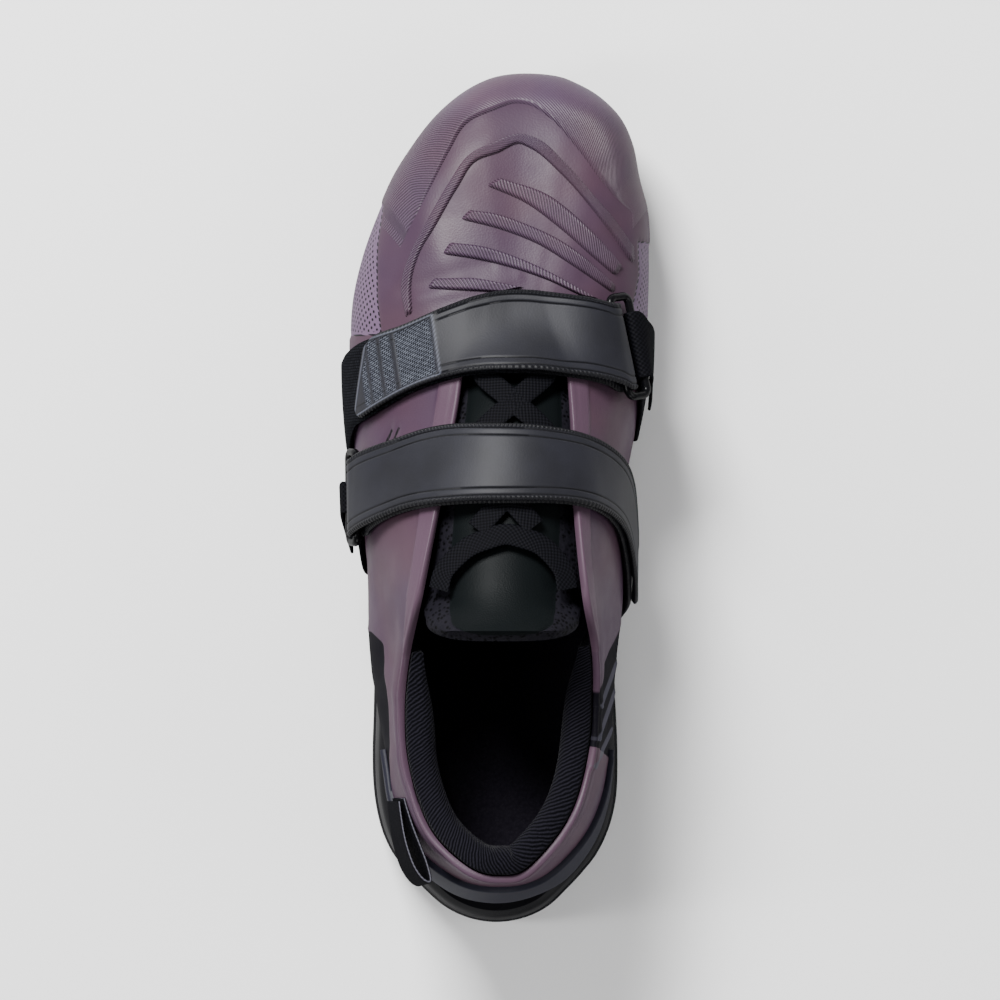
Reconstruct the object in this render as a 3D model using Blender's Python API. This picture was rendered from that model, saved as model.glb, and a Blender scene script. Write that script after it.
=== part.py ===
"""A left weightlifting shoe: raised hard heel, flat forefoot, two hook-and-loop straps over a laced throat.
Metres, +Z up, +Y to the toe, +X to the inner (medial) side. The origin is on the floor under the heel."""

import math

import bmesh
import bpy
import numpy as np
from mathutils import Vector
from mathutils.bvhtree import BVHTree

MM = 0.001

# Driving dimensions of the shoe
LENGTH = 300 * MM
BALL_WIDTH = 105.6 * MM
HEEL_TO_ORIGIN = 43 * MM
AXIS_OFFSET = 0 * MM
COLLAR_HEIGHT = 100 * MM
HEEL_STACK = 33 * MM
BALL_STACK = 13 * MM
TOE_SPRING = 9 * MM
WAIST_RISE = 2.5 * MM

# Walls, layers and clearances
GAP = 0.3 * MM
WALL = 2.2 * MM
OUTSOLE = 4.5 * MM
INSOLE = 4.0 * MM
INSOLE_CUP = 3.0 * MM
TUCK = 4.0 * MM
LINING_PAD = 9.5 * MM
LINING_FOOT = 1.8 * MM
LINING_RISE = 3.0 * MM
OVERLAY = 1.2 * MM
MOULD_GAP = 0.7 * MM
COUNTER_THICK = 1.6 * MM
TONGUE_THICK = 7.0 * MM
TONGUE_FRONT_THICK = 3.0 * MM
TONGUE_WIDTH = 62 * MM
STRAP = 1.8 * MM
WEBBING = 1.1 * MM
RING_WIRE = 3.0 * MM
RING_REACH = 9.0 * MM
LACE_WIDTH = 8.0 * MM
LACE_THICK = 1.2 * MM
LACE_GAP = 0.4 * MM
LOOP_WIDTH = 17 * MM
LOOP_THICK = 1.2 * MM
GROOVE_WIDTH = 2.6 * MM
GROOVE_DEPTH = 1.5 * MM

# How finely the curved walls are divided
AROUND = 64
UP_LOW = 3
UP_HIGH = 9
SOLE_STATIONS = 26
STRAP_STATIONS = 24
FREE_STATIONS = 6
TONGUE_STATIONS = 20
LOOP_STATIONS = 24
COUNTER_STATIONS = 24
BAND_STATIONS = 30
RIB_STATIONS = 9
LACE_TOP_STATIONS = 15
LACE_CROSSING_STATIONS = 20
ANCHOR_STATIONS = 9
FOLD_STATIONS = 7

# Plan of the upper at its widest level: share of the shoe's length from the back of the heel,
# and shares of the ball width to the outer (lateral) and inner (medial) side
UPPER_PLAN = (
    # along, lateral, medial
    (0.033, -0.013, -0.013),
    (0.041, -0.134, 0.108),
    (0.057, -0.210, 0.199),
    (0.079, -0.278, 0.259),
    (0.112, -0.335, 0.316),
    (0.152, -0.366, 0.350),
    (0.199, -0.385, 0.366),
    (0.252, -0.413, 0.381),
    (0.305, -0.434, 0.390),
    (0.359, -0.441, 0.407),
    (0.412, -0.446, 0.414),
    (0.465, -0.455, 0.416),
    (0.519, -0.474, 0.422),
    (0.572, -0.491, 0.449),
    (0.625, -0.504, 0.479),
    (0.679, -0.506, 0.494),
    (0.732, -0.500, 0.502),
    (0.785, -0.468, 0.504),
    (0.839, -0.413, 0.498),
    (0.879, -0.362, 0.468),
    (0.919, -0.286, 0.441),
    (0.945, -0.225, 0.405),
    (0.972, -0.138, 0.328),
    (0.988, -0.063, 0.248),
    (0.995, -0.009, 0.195),
    (0.9987, 0.085, 0.085),
)

# Plan of the sole: inside the upper round the forefoot, flared beyond it round the heel
SOLE_PLAN = (
    # along, lateral, medial
    (0.000, -0.013, -0.013),
    (0.019, -0.187, 0.161),
    (0.039, -0.252, 0.222),
    (0.059, -0.305, 0.275),
    (0.079, -0.354, 0.320),
    (0.099, -0.384, 0.350),
    (0.139, -0.415, 0.384),
    (0.199, -0.426, 0.392),
    (0.252, -0.422, 0.386),
    (0.305, -0.420, 0.375),
    (0.385, -0.424, 0.358),
    (0.465, -0.441, 0.375),
    (0.545, -0.464, 0.413),
    (0.625, -0.487, 0.455),
    (0.692, -0.491, 0.479),
    (0.759, -0.472, 0.487),
    (0.839, -0.396, 0.481),
    (0.879, -0.347, 0.451),
    (0.919, -0.271, 0.422),
    (0.945, -0.210, 0.388),
    (0.972, -0.123, 0.311),
    (0.985, -0.051, 0.233),
    (0.9927, 0.081, 0.081),
)

# Height of the footbed over the floor: share of the length, share of the way from ball stack to heel stack
FOOTBED = (
    # along, heel_share
    (0.00, 1.00),
    (0.22, 1.00),
    (0.32, 0.86),
    (0.42, 0.56),
    (0.52, 0.24),
    (0.62, 0.05),
    (0.70, 0.00),
    (1.00, 0.00),
)

# Underside: share of the toe spring and of the waist's rise
UNDERSIDE = (
    # along, spring, waist
    (0.000, 0.00, 0.0),
    (0.330, 0.00, 0.0),
    (0.380, 0.00, 0.7),
    (0.430, 0.00, 1.0),
    (0.480, 0.00, 0.7),
    (0.530, 0.00, 0.0),
    (0.780, 0.00, 0.0),
    (0.860, 0.16, 0.0),
    (0.930, 0.52, 0.0),
    (1.000, 1.00, 0.0),
)

# One row for each section round the upper, from the back of the heel along the lateral side to the toe
# (turn 0 to 1), then along the medial side back to the heel (turn 1 to 2). bulge is the height of the
# widest level over the footbed, edge_* the top edge, lean its slope in degrees, low and high the
# lengths of the curve's handles as shares of the way from the widest level to the edge
UPPER_ROWS = (
    # turn, bulge, edge_across, edge_along, edge_height, lean, low, high
    (0.00, 0.150, -0.006, 0.0587, 1.000, 97, 0.40, 0.30),
    (0.10, 0.150, -0.133, 0.0740, 0.985, 92, 0.40, 0.30),
    (0.18, 0.150, -0.248, 0.1160, 0.930, 84, 0.40, 0.30),
    (0.27, 0.150, -0.322, 0.1920, 0.865, 80, 0.40, 0.30),
    (0.34, 0.150, -0.335, 0.2520, 0.845, 78, 0.40, 0.32),
    (0.40, 0.150, -0.318, 0.3160, 0.895, 72, 0.40, 0.34),
    (0.455, 0.150, -0.271, 0.3900, 1.050, 60, 0.42, 0.36),
    (0.52, 0.145, -0.205, 0.5000, 0.960, 44, 0.44, 0.38),
    (0.585, 0.140, -0.148, 0.6050, 0.830, 32, 0.46, 0.42),
    (0.64, 0.140, -0.121, 0.6640, 0.755, 24, 0.46, 0.42),
    (0.70, 0.135, -0.087, 0.6800, 0.738, 21, 0.44, 0.44),
    (0.77, 0.135, -0.051, 0.6850, 0.735, 21, 0.40, 0.44),
    (0.84, 0.130, -0.017, 0.6870, 0.735, 22, 0.34, 0.46),
    (0.92, 0.125, 0.017, 0.6875, 0.735, 22, 0.27, 0.46),
    (1.00, 0.120, 0.051, 0.6875, 0.735, 22, 0.22, 0.46),
    (1.08, 0.125, 0.085, 0.6870, 0.735, 22, 0.27, 0.46),
    (1.16, 0.130, 0.119, 0.6850, 0.735, 21, 0.34, 0.44),
    (1.23, 0.135, 0.155, 0.6820, 0.735, 21, 0.40, 0.44),
    (1.30, 0.135, 0.190, 0.6770, 0.738, 22, 0.44, 0.42),
    (1.36, 0.140, 0.220, 0.6640, 0.755, 26, 0.46, 0.42),
    (1.42, 0.140, 0.240, 0.6010, 0.840, 38, 0.44, 0.38),
    (1.485, 0.145, 0.254, 0.5000, 0.965, 52, 0.42, 0.36),
    (1.545, 0.150, 0.288, 0.3900, 1.060, 66, 0.40, 0.34),
    (1.60, 0.150, 0.322, 0.3240, 0.920, 76, 0.40, 0.32),
    (1.66, 0.150, 0.326, 0.2590, 0.850, 80, 0.40, 0.30),
    (1.73, 0.150, 0.307, 0.1950, 0.870, 82, 0.40, 0.30),
    (1.82, 0.150, 0.237, 0.1230, 0.930, 86, 0.40, 0.30),
    (1.90, 0.150, 0.112, 0.0710, 0.985, 93, 0.40, 0.30),
)


def smooth(places, values, at):
    """A smooth curve through the values of a table's column, read at any place."""
    places = np.asarray(places, float)
    values = np.asarray(values, float)
    at = np.clip(np.asarray(at, float), places[0], places[-1])
    step = np.diff(places)
    rise = np.diff(values) / step
    slope = np.empty_like(values)
    slope[0] = rise[0]
    slope[-1] = rise[-1]
    slope[1:-1] = (rise[:-1] * step[1:] + rise[1:] * step[:-1]) / (step[:-1] + step[1:])
    flat = np.zeros_like(values, bool)
    flat[1:-1] = rise[:-1] * rise[1:] <= 0
    slope[flat] = 0
    i = np.clip(np.searchsorted(places, at, side="right") - 1, 0, len(step) - 1)
    t = (at - places[i]) / step[i]
    stay = values[i] * (1 + 2 * t) * (1 - t) ** 2 + slope[i] * step[i] * t * (1 - t) ** 2
    go = values[i + 1] * t * t * (3 - 2 * t) - slope[i + 1] * step[i] * t * t * (1 - t)
    return stay + go


def column(rows, number):
    return [row[number] for row in rows]


def along(share):
    """World y of a share of the shoe's length, counted from the back of the heel."""
    return share * LENGTH - HEEL_TO_ORIGIN


def across(share):
    return share * BALL_WIDTH + AXIS_OFFSET


def share_of(y):
    return (y + HEEL_TO_ORIGIN) / LENGTH


def footbed(y):
    """Height of the sole's upper face."""
    heel_share = smooth(column(FOOTBED, 0), column(FOOTBED, 1), share_of(y))
    return BALL_STACK + (HEEL_STACK - BALL_STACK) * heel_share + toe_rise(y)


def toe_rise(y):
    return TOE_SPRING * smooth(column(UNDERSIDE, 0), column(UNDERSIDE, 1), share_of(y))


def underside(y):
    waist = smooth(column(UNDERSIDE, 0), column(UNDERSIDE, 2), share_of(y))
    return toe_rise(y) + WAIST_RISE * waist


def plan_point(plan, turn):
    """A point of a plan's outline. turn runs 0 to 1 on the lateral side, heel to toe, and 1 to 2 back."""
    turn = np.asarray(turn, float) % 2
    side = np.where(turn <= 1, turn, 2 - turn)
    ends = plan[0][0], plan[-1][0]
    places = [math.acos(1 - 2 * (row[0] - ends[0]) / (ends[1] - ends[0])) / math.pi for row in plan]
    lateral = smooth(places, column(plan, 1), side)
    medial = smooth(places, column(plan, 2), side)
    x = across(np.where(turn <= 1, lateral, medial))
    y = along(ends[0] + (ends[1] - ends[0]) * (1 - np.cos(np.pi * side)) / 2)
    return np.stack([x, y], -1)


def plan_inward(plan, turn):
    """The direction into the outline, square to it."""
    d = 1e-3
    run = plan_point(plan, np.asarray(turn) + d) - plan_point(plan, np.asarray(turn) - d)
    run /= np.linalg.norm(run, axis=-1, keepdims=True)
    return np.stack([run[..., 1], -run[..., 0]], -1)


def row_value(number, turn):
    """A column of UPPER_ROWS, read smoothly all the way round."""
    turns = column(UPPER_ROWS, 0)
    values = column(UPPER_ROWS, number)
    places = [turns[-2] - 2, turns[-1] - 2] + turns + [turns[0] + 2, turns[1] + 2]
    wrapped = values[-2:] + values + values[:2]
    return smooth(places, wrapped, np.asarray(turn, float) % 2)


def bezier(p0, p1, p2, p3, t):
    t = np.asarray(t)[..., None]
    return p0 * (1 - t) ** 3 + 3 * p1 * t * (1 - t) ** 2 + 3 * p2 * t * t * (1 - t) + p3 * t**3


LOW_SHARE = 0.2


def upper_point(turn, rise):
    """The upper's outer face. rise 0 is its foot on the sole, LOW_SHARE its widest level, 1 its top edge."""
    turn, rise = np.broadcast_arrays(np.asarray(turn, float), np.asarray(rise, float))
    wide = plan_point(UPPER_PLAN, turn)
    inward = plan_inward(UPPER_PLAN, turn)
    bed = footbed(wide[..., 1])
    foot = np.concatenate([wide + inward * TUCK, (bed + GAP)[..., None]], -1)
    level = bed + row_value(1, turn) * COLLAR_HEIGHT
    broad = np.concatenate([wide, level[..., None]], -1)
    edge = np.stack(
        [
            across(row_value(2, turn)),
            along(row_value(3, turn)),
            COLLAR_HEIGHT * row_value(4, turn),
        ],
        -1,
    )
    lean = np.radians(row_value(5, turn))
    flat = edge[..., :2] - broad[..., :2]
    flat /= np.linalg.norm(flat, axis=-1, keepdims=True)
    finish = np.concatenate([flat * np.cos(lean)[..., None], np.sin(lean)[..., None]], -1)
    reach = np.linalg.norm(edge - broad, axis=-1)
    up = np.zeros_like(broad)
    up[..., 2] = 1
    low = broad + up * (reach * row_value(6, turn))[..., None]
    high = edge - finish * (reach * row_value(7, turn))[..., None]
    drop = (broad[..., 2] - foot[..., 2])[..., None]
    outward = np.concatenate([-inward, np.zeros_like(inward[..., :1])], -1)
    first = bezier(
        foot,
        foot + outward * TUCK * 0.6 + up * drop * 0.15,
        broad - up * drop * 0.5,
        broad,
        np.clip(rise / LOW_SHARE, 0, 1),
    )
    second = bezier(broad, low, high, edge, np.clip((rise - LOW_SHARE) / (1 - LOW_SHARE), 0, 1))
    return np.where((rise < LOW_SHARE)[..., None], first, second)


def upper_normal(turn, rise):
    """Square to the upper's outer face, pointing out."""
    d = 2e-3
    rise = np.clip(rise, d, 1 - d)
    round_ = upper_point(np.asarray(turn) + d, rise) - upper_point(np.asarray(turn) - d, rise)
    upward = upper_point(turn, rise + d) - upper_point(turn, rise - d)
    square = np.cross(upward, round_)
    return square / np.linalg.norm(square, axis=-1, keepdims=True)


def upper_skin(turn, rise, out):
    """A point at the distance out from the upper's outer face, negative inside."""
    return upper_point(turn, rise) + upper_normal(turn, rise) * out


def material(name, colour, roughness, metallic=0.0):
    made = bpy.data.materials.new(name)
    made.use_nodes = True
    shader = made.node_tree.nodes["Principled BSDF"]
    shader.inputs["Base Color"].default_value = (*colour, 1)
    shader.inputs["Roughness"].default_value = roughness
    shader.inputs["Metallic"].default_value = metallic
    made.diffuse_color = (*colour, 1)
    return made


def loft(name, rings, look, ring_closed=False, pinched=(False, False)):
    """A solid through closed sections. ring_closed joins the last section to the first.
    A pinched end has drawn its section together to a line or a point, so it needs no cap."""
    rings = np.asarray(rings, float)
    count, size = rings.shape[:2]
    mesh = bmesh.new()
    rows = [[mesh.verts.new(point) for point in ring] for ring in rings]
    for i in range(count if ring_closed else count - 1):
        here, there = rows[i], rows[(i + 1) % count]
        for j in range(size):
            k = (j + 1) % size
            mesh.faces.new((here[j], here[k], there[k], there[j]))
    if not ring_closed:
        if not pinched[0]:
            mesh.faces.new(rows[0][::-1])
        if not pinched[1]:
            mesh.faces.new(rows[-1])
    bmesh.ops.remove_doubles(mesh, verts=mesh.verts, dist=2e-6)
    bmesh.ops.dissolve_degenerate(mesh, edges=mesh.edges, dist=1e-6)
    bmesh.ops.triangulate(mesh, faces=mesh.faces)
    bmesh.ops.recalc_face_normals(mesh, faces=mesh.faces)
    return place(name, mesh, look)


def place(name, mesh, look):
    if mesh.calc_volume(signed=True) < 0:
        bmesh.ops.reverse_faces(mesh, faces=mesh.faces)
    data = bpy.data.meshes.new(name)
    mesh.to_mesh(data)
    mesh.free()
    data.materials.append(look)
    data.set_sharp_from_angle(angle=math.radians(40))
    made = bpy.data.objects.new(name, data)
    shoe.objects.link(made)
    made.parent = frame
    return made


def start():
    """An empty scene with the shoe's collection, one for cutters and the parent of every piece."""
    for old in list(bpy.data.objects):
        bpy.data.objects.remove(old, do_unlink=True)
    pieces = bpy.data.collections.new("weightlifting_shoe")
    cutters = bpy.data.collections.new("cutters")
    for made in (pieces, cutters):
        bpy.context.scene.collection.children.link(made)
    empty = bpy.data.objects.new("shoe_frame", None)
    pieces.objects.link(empty)
    return pieces, cutters, empty


shoe, cutters, frame = start()
purple = material("purple_coated_leather", (0.19, 0.12, 0.18), 0.42, 0.3)
black_rubber = material("black_rubber", (0.012, 0.012, 0.014), 0.7)
gloss_black = material("gloss_black_plastic", (0.012, 0.012, 0.016), 0.25)
slate = material("slate_plastic", (0.035, 0.037, 0.05), 0.45)
knit = material("black_knit", (0.01, 0.01, 0.012), 0.9)
strap_look = material("charcoal_strap", (0.045, 0.045, 0.055), 0.5)
webbing_look = material("black_webbing", (0.012, 0.012, 0.014), 0.85)
ring_look = material("black_ring_plastic", (0.015, 0.015, 0.017), 0.4)


# Sole: each layer is a loft of sections from heel to toe, its side a short table of steps

OUTSOLE_SIDE = (
    # height share, inset
    (0.0, 1.2 * MM),
    (0.25, 0.2 * MM),
    (0.55, 0.0 * MM),
    (1.0, 0.0 * MM),
)
MIDSOLE_SIDE = (
    (0.0, 0.6 * MM),
    (0.22, 0.0 * MM),
    (0.40, 0.0 * MM),
    (0.48, 1.0 * MM),
    (0.60, 1.0 * MM),
    (0.68, 0.2 * MM),
    (0.90, 0.2 * MM),
    (1.0, 1.0 * MM),
)
HEEL_SIDE = (
    (0.0, 0.6 * MM),
    (0.12, 0.0 * MM),
    (0.34, 0.4 * MM),
    (0.38, 1.5 * MM),
    (0.46, 1.5 * MM),
    (0.50, 0.6 * MM),
    (0.74, 1.4 * MM),
    (0.90, 2.6 * MM),
    (1.0, 4.6 * MM),
)
INSOLE_SIDE = (
    (0.0, 1.4 * MM),
    (0.3, 0.3 * MM),
    (0.8, 0.0 * MM),
    (1.0, 0.7 * MM),
)
ACROSS = (0.0, 0.15, 0.35, 0.5, 0.65, 0.85, 1.0)


def stations(plan, first, last):
    """Turns of the plan at the stations that all layers share, from one share of the length to another."""
    start_share, end_share = max(first, plan[0][0]), min(last, plan[-1][0])
    common = (1 - np.cos(np.pi * np.linspace(0, 1, SOLE_STATIONS))) / 2
    margin = 0.25 / SOLE_STATIONS**2
    inside = [c for c in common if start_share + margin < c < end_share - margin]
    shares = np.array([start_share, *inside, end_share])
    run = plan[-1][0] - plan[0][0]
    return np.arccos(np.clip(1 - 2 * (shares - plan[0][0]) / run, -1, 1)) / np.pi


def slab(name, look, plan, side, low, high, first=0.0, last=1.0, inset=0.0, cup=0.0):
    """A layer of the sole between two height functions, from share first to last of the length."""
    rings = []
    for turn in stations(plan, first, last):
        station = plan_point(plan, turn)[1]
        ring = []
        edges = []
        for t in (turn, 2 - turn):
            edge = plan_point(plan, t)
            inward = plan_inward(plan, t)
            edges.append([edge + inward * (inset + step[1]) for step in side])
        for k, (share, _) in enumerate(side):
            ring.append((edges[0][k], share))
        top = [(edges[0][-1] * (1 - c) + edges[1][-1] * c, 1.0) for c in ACROSS[1:-1]]
        ring += top
        for k in reversed(range(len(side))):
            ring.append((edges[1][k], side[k][0]))
        ring += [(edges[0][0] * (1 - c) + edges[1][0] * c, 0.0) for c in reversed(ACROSS[1:-1])]
        made = []
        for number, (point, share) in enumerate(ring):
            bottom, crown = low(station), high(station)
            inner = len(side) <= number < len(side) + len(top)
            dish = cup if inner else 0.0
            made.append((point[0], point[1], bottom + (crown - bottom) * share - dish))
        rings.append(made)
    ends = (first <= plan[0][0], last >= plan[-1][0])
    return loft(name, rings, look, pinched=ends)


def groove(name, y, width, depth):
    """A cutter across the outsole's underside."""
    bpy.ops.mesh.primitive_cube_add(size=1)
    cutter = bpy.context.object
    cutter.name = name
    cutter.scale = (BALL_WIDTH * 1.2, width, depth * 2)
    cutter.location = (0, y, 0)
    for home in list(cutter.users_collection):
        home.objects.unlink(cutter)
    cutters.objects.link(cutter)
    cutter.hide_render = True
    cutter.display_type = "WIRE"
    return cutter


HEEL_GROOVES = (0.045, 0.080, 0.205, 0.240, 0.275)
FOREFOOT_GROOVES = (0.560, 0.592, 0.624, 0.656, 0.688, 0.720, 0.752)
HEEL_BLOCK_END = 0.385

outsole = slab(
    "outsole", black_rubber, SOLE_PLAN, OUTSOLE_SIDE, underside, lambda y: underside(y) + OUTSOLE
)
for number, share in enumerate(HEEL_GROOVES + FOREFOOT_GROOVES):
    cutter = groove(f"sole_groove_{number + 1}", along(share), GROOVE_WIDTH, GROOVE_DEPTH)
    cut = outsole.modifiers.new(cutter.name, "BOOLEAN")
    cut.object = cutter
    cut.operation = "DIFFERENCE"

slab(
    "heel_block",
    gloss_black,
    SOLE_PLAN,
    HEEL_SIDE,
    lambda y: underside(y) + OUTSOLE + GAP,
    footbed,
    last=HEEL_BLOCK_END,
)
slab(
    "midsole",
    black_rubber,
    SOLE_PLAN,
    MIDSOLE_SIDE,
    lambda y: underside(y) + OUTSOLE + GAP,
    footbed,
    first=HEEL_BLOCK_END + 2 * GAP / LENGTH,
)
slab(
    "insole",
    knit,
    UPPER_PLAN,
    INSOLE_SIDE,
    lambda y: footbed(y) + GAP,
    lambda y: footbed(y) + GAP + INSOLE + INSOLE_CUP,
    inset=TUCK + WALL + LINING_FOOT + 3 * GAP,
    cup=INSOLE_CUP,
)

# Upper: the wall between its outer face and the same face moved in by its thickness

turns = np.linspace(0, 2, AROUND, endpoint=False)
rises = np.concatenate(
    [
        np.linspace(0, LOW_SHARE, UP_LOW, endpoint=False),
        LOW_SHARE + (1 - LOW_SHARE) * np.linspace(0, 1, UP_HIGH),
    ]
)
upper_rings = []
for turn in turns:
    outer = upper_skin(turn, rises, 0)
    inner = upper_skin(turn, rises, -WALL)
    inner[0, 2] = outer[0, 2]
    upper_rings.append(np.concatenate([outer, inner[::-1]]))
loft("upper", upper_rings, purple, ring_closed=True)


def upper_overlay(name, look, turn_list, low, high, thick, across_count=5):
    """A moulding that follows the upper's outer face between two rises given for each turn."""
    rings = []
    for turn, bottom, top in zip(turn_list, low, high):
        rise = np.linspace(bottom, top, across_count)
        under = upper_skin(turn, rise, MOULD_GAP)
        over = upper_skin(turn, rise, MOULD_GAP + thick)
        rings.append(np.concatenate([over, under[::-1]]))
    return loft(name, rings, look)


# Collar: a padded roll inside the upper's top edge, thinning to both ends and towards the foot

LINING_ROWS = (
    # turn, pad_share
    (1.594, 0.25),
    (1.64, 0.85),
    (1.75, 1.0),
    (2.25, 1.0),
    (2.36, 0.85),
    (2.406, 0.25),
)
LINING_SECTION = (
    # rise on the upper, share of the pad's thickness, share of the roll's height
    (0.40, 0.0, 0.0),
    (0.60, 0.0, 0.0),
    (0.80, 0.0, 0.0),
    (0.90, 0.0, 0.0),
    (1.0, 0.0, 0.25),
    (1.0, 0.16, 0.80),
    (1.0, 0.45, 1.0),
    (1.0, 0.80, 0.55),
    (1.0, 1.0, -0.8),
    (0.84, 0.98, 0.0),
    (0.66, 0.66, 0.0),
    (0.40, 0.0, 0.0),
)
LINING_OUTER = 5  # rows of the section that lie on the upper


def lining_rings():
    rings = []
    for number in range(round(LINING_ROWS[0][0] * AROUND / 2), round(LINING_ROWS[-1][0] * AROUND / 2) + 1):
        turn = number * 2 / AROUND
        pad = LINING_PAD * smooth(column(LINING_ROWS, 0), column(LINING_ROWS, 1), turn)
        ring = []
        for number, (rise, thick, lift) in enumerate(LINING_SECTION):
            square = upper_normal(turn, min(rise, 0.98))
            level = np.array([square[0], square[1], 0])
            level /= np.linalg.norm(level)
            seat = upper_skin(turn, rise, -WALL - 2 * GAP)
            inner = number >= LINING_OUTER
            foot = LINING_FOOT if inner else 0.0
            share = pad / LINING_PAD
            point = seat - level * (foot + (pad - foot * share) * thick)
            point[2] += LINING_RISE * lift * share
            ring.append(point)
        rings.append(ring)
    return rings


loft("collar_lining", lining_rings(), knit)

# Tongue: a padded strip that rises from under the vamp to its lip behind the top eyelets

TONGUE_ROWS = (
    # along, across, height, half_width, drop, thickness_share
    (0.735, 0.050, 0.630, 0.55, 0.09, 0.0),
    (0.700, 0.050, 0.682, 0.64, 0.11, 0.0),
    (0.685, 0.050, 0.707, 0.68, 0.12, 0.0),
    (0.655, 0.049, 0.755, 0.74, 0.14, 0.2),
    (0.605, 0.046, 0.858, 0.80, 0.14, 0.4),
    (0.500, 0.026, 0.998, 0.88, 0.15, 0.6),
    (0.420, 0.014, 1.090, 0.90, 0.17, 0.8),
    (0.390, 0.010, 1.130, 0.88, 0.17, 1.0),
    (0.368, 0.008, 1.172, 0.86, 0.12, 1.0),
    (0.355, 0.008, 1.205, 0.78, 0.10, 0.9),
    (0.350, 0.008, 1.222, 0.64, 0.07, 0.45),
)

TONGUE_EDGE_THINNING = 0.45
TONGUE_CURVE = 2.2  # power of the drop from the middle to the edges


def tongue_rings():
    runs = [row[0] for row in TONGUE_ROWS]
    order = [-run for run in runs]
    rings = []
    for run in np.linspace(runs[0], runs[-1], TONGUE_STATIONS):
        middle, height, half, drop, pad = (
            smooth(order, column(TONGUE_ROWS, number), -run) for number in range(1, 6)
        )
        step = 1e-3
        rise = COLLAR_HEIGHT * (
            smooth(order, column(TONGUE_ROWS, 2), step - run)
            - smooth(order, column(TONGUE_ROWS, 2), -step - run)
        )
        square = np.array([0, rise, 2 * step * LENGTH])
        square /= np.linalg.norm(square)
        thick = TONGUE_FRONT_THICK + (TONGUE_THICK - TONGUE_FRONT_THICK) * pad
        over, under = [], []
        for c in np.linspace(-1, 1, 7):
            point = np.array(
                [
                    across(middle) + c * half * TONGUE_WIDTH / 2,
                    along(run),
                    COLLAR_HEIGHT * (height - drop * abs(c) ** TONGUE_CURVE),
                ]
            )
            over.append(point)
            under.append(point - square * thick * (1 - TONGUE_EDGE_THINNING * c**4))
        rings.append(over + under[::-1])
    return rings


loft("tongue", tongue_rings(), knit)

# Draping form: the upper's outer face, with an arch across the throat that clears tongue and lace

THROAT_ARCH = (
    # turn, rise of the arch over the throat's edges, share of the collar's height
    (0.455, 0.105),
    (0.520, 0.075),
    (0.585, 0.070),
    (0.640, 0.045),
    (0.700, 0.020),
    (0.850, 0.000),
)


def throat_point(turn, c, out=0.0):
    """The arch over the throat at a turn of the lateral edge, c from 0 lateral to 1 medial."""
    rise = COLLAR_HEIGHT * smooth(column(THROAT_ARCH, 0), column(THROAT_ARCH, 1), turn)
    point = upper_point(turn, 1.0) * (1 - c) + upper_point(2 - turn, 1.0) * c
    point[2] += rise * (1 - (2 * c - 1) ** 2) + out
    return point


def sheet(rows):
    """The points and the four-sided faces of a grid."""
    rows = np.asarray(rows)
    count, size = rows.shape[:2]
    faces = []
    for i in range(count - 1):
        for j in range(size - 1):
            at = i * size + j
            faces.append((at, at + 1, at + size + 1, at + size))
    return [Vector(p) for p in rows.reshape(-1, 3)], faces


def draping_form():
    skin = [upper_skin(turn, np.linspace(0, 1, 60), 0) for turn in np.linspace(0, 2, 321)]
    arch = [
        [throat_point(turn, c) for c in np.linspace(0, 1, 13)] for turn in np.linspace(0.44, 0.85, 40)
    ]
    points, faces = sheet(skin)
    more, others = sheet(arch)
    faces += [tuple(number + len(points) for number in face) for face in others]
    return BVHTree.FromPolygons(points + more, faces)


form = draping_form()
GIRTH_AXIS = Vector((0, 0, 0.45 * COLLAR_HEIGHT))


def girth(angle, y, out):
    """A point round the foot at a station y: angle 0 is lateral, 90 straight up, 180 medial.
    An angle that looks under the upper's foot is drawn up to it."""
    found = None
    while found is None:
        turned = math.radians(angle)
        way = Vector((-math.cos(turned), 0, math.sin(turned)))
        found, square, _, _ = form.ray_cast(Vector((GIRTH_AXIS.x, y, GIRTH_AXIS.z)), way)
        angle += 1 if angle < 90 else -1
    if square.dot(way) < 0:
        square = -square
    return np.array(found + square * out), np.array(square)


def onto(x, y, out):
    """The point of the vamp straight below a plan point."""
    found, square, _, _ = form.ray_cast(Vector((x, y, 1)), Vector((0, 0, -1)))
    if square.z < 0:
        square = -square
    return np.array(found + square * out)


# Straps: each runs round the foot, folds round a ring and comes back over itself

LANES = (0.0, 0.5, 1.0)
STRAP_FOREFOOT = (
    # angle, along of the front edge, along of the rear edge
    (-38, 0.664, 0.548),
    (-20, 0.666, 0.553),
    (0, 0.676, 0.572),
    (8, 0.683, 0.585),
    (20, 0.692, 0.594),
    (30, 0.700, 0.606),
    (42, 0.713, 0.622),
    (58, 0.727, 0.635),
    (75, 0.736, 0.642),
    (90, 0.740, 0.644),
    (105, 0.741, 0.644),
    (120, 0.740, 0.641),
    (134, 0.736, 0.637),
    (149, 0.728, 0.628),
    (158, 0.720, 0.620),
    (175, 0.705, 0.610),
)
STRAP_ANKLE = (
    (-10, 0.530, 0.442),
    (0, 0.534, 0.446),
    (12, 0.541, 0.452),
    (25, 0.552, 0.462),
    (40, 0.564, 0.474),
    (55, 0.576, 0.485),
    (70, 0.582, 0.491),
    (90, 0.583, 0.494),
    (105, 0.581, 0.494),
    (120, 0.574, 0.489),
    (135, 0.561, 0.476),
    (150, 0.540, 0.455),
    (162, 0.516, 0.428),
    (172, 0.490, 0.404),
    (182, 0.462, 0.384),
    (190, 0.440, 0.374),
    (205, 0.430, 0.350),
)
LAYER_GAP = 0.4 * MM
FOLD_BLEND = 30.0
FOLD_CLEAR = 6.0
STRAP_SEAT = 1.1 * MM
FREE_ROUND = 7 * MM


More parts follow.
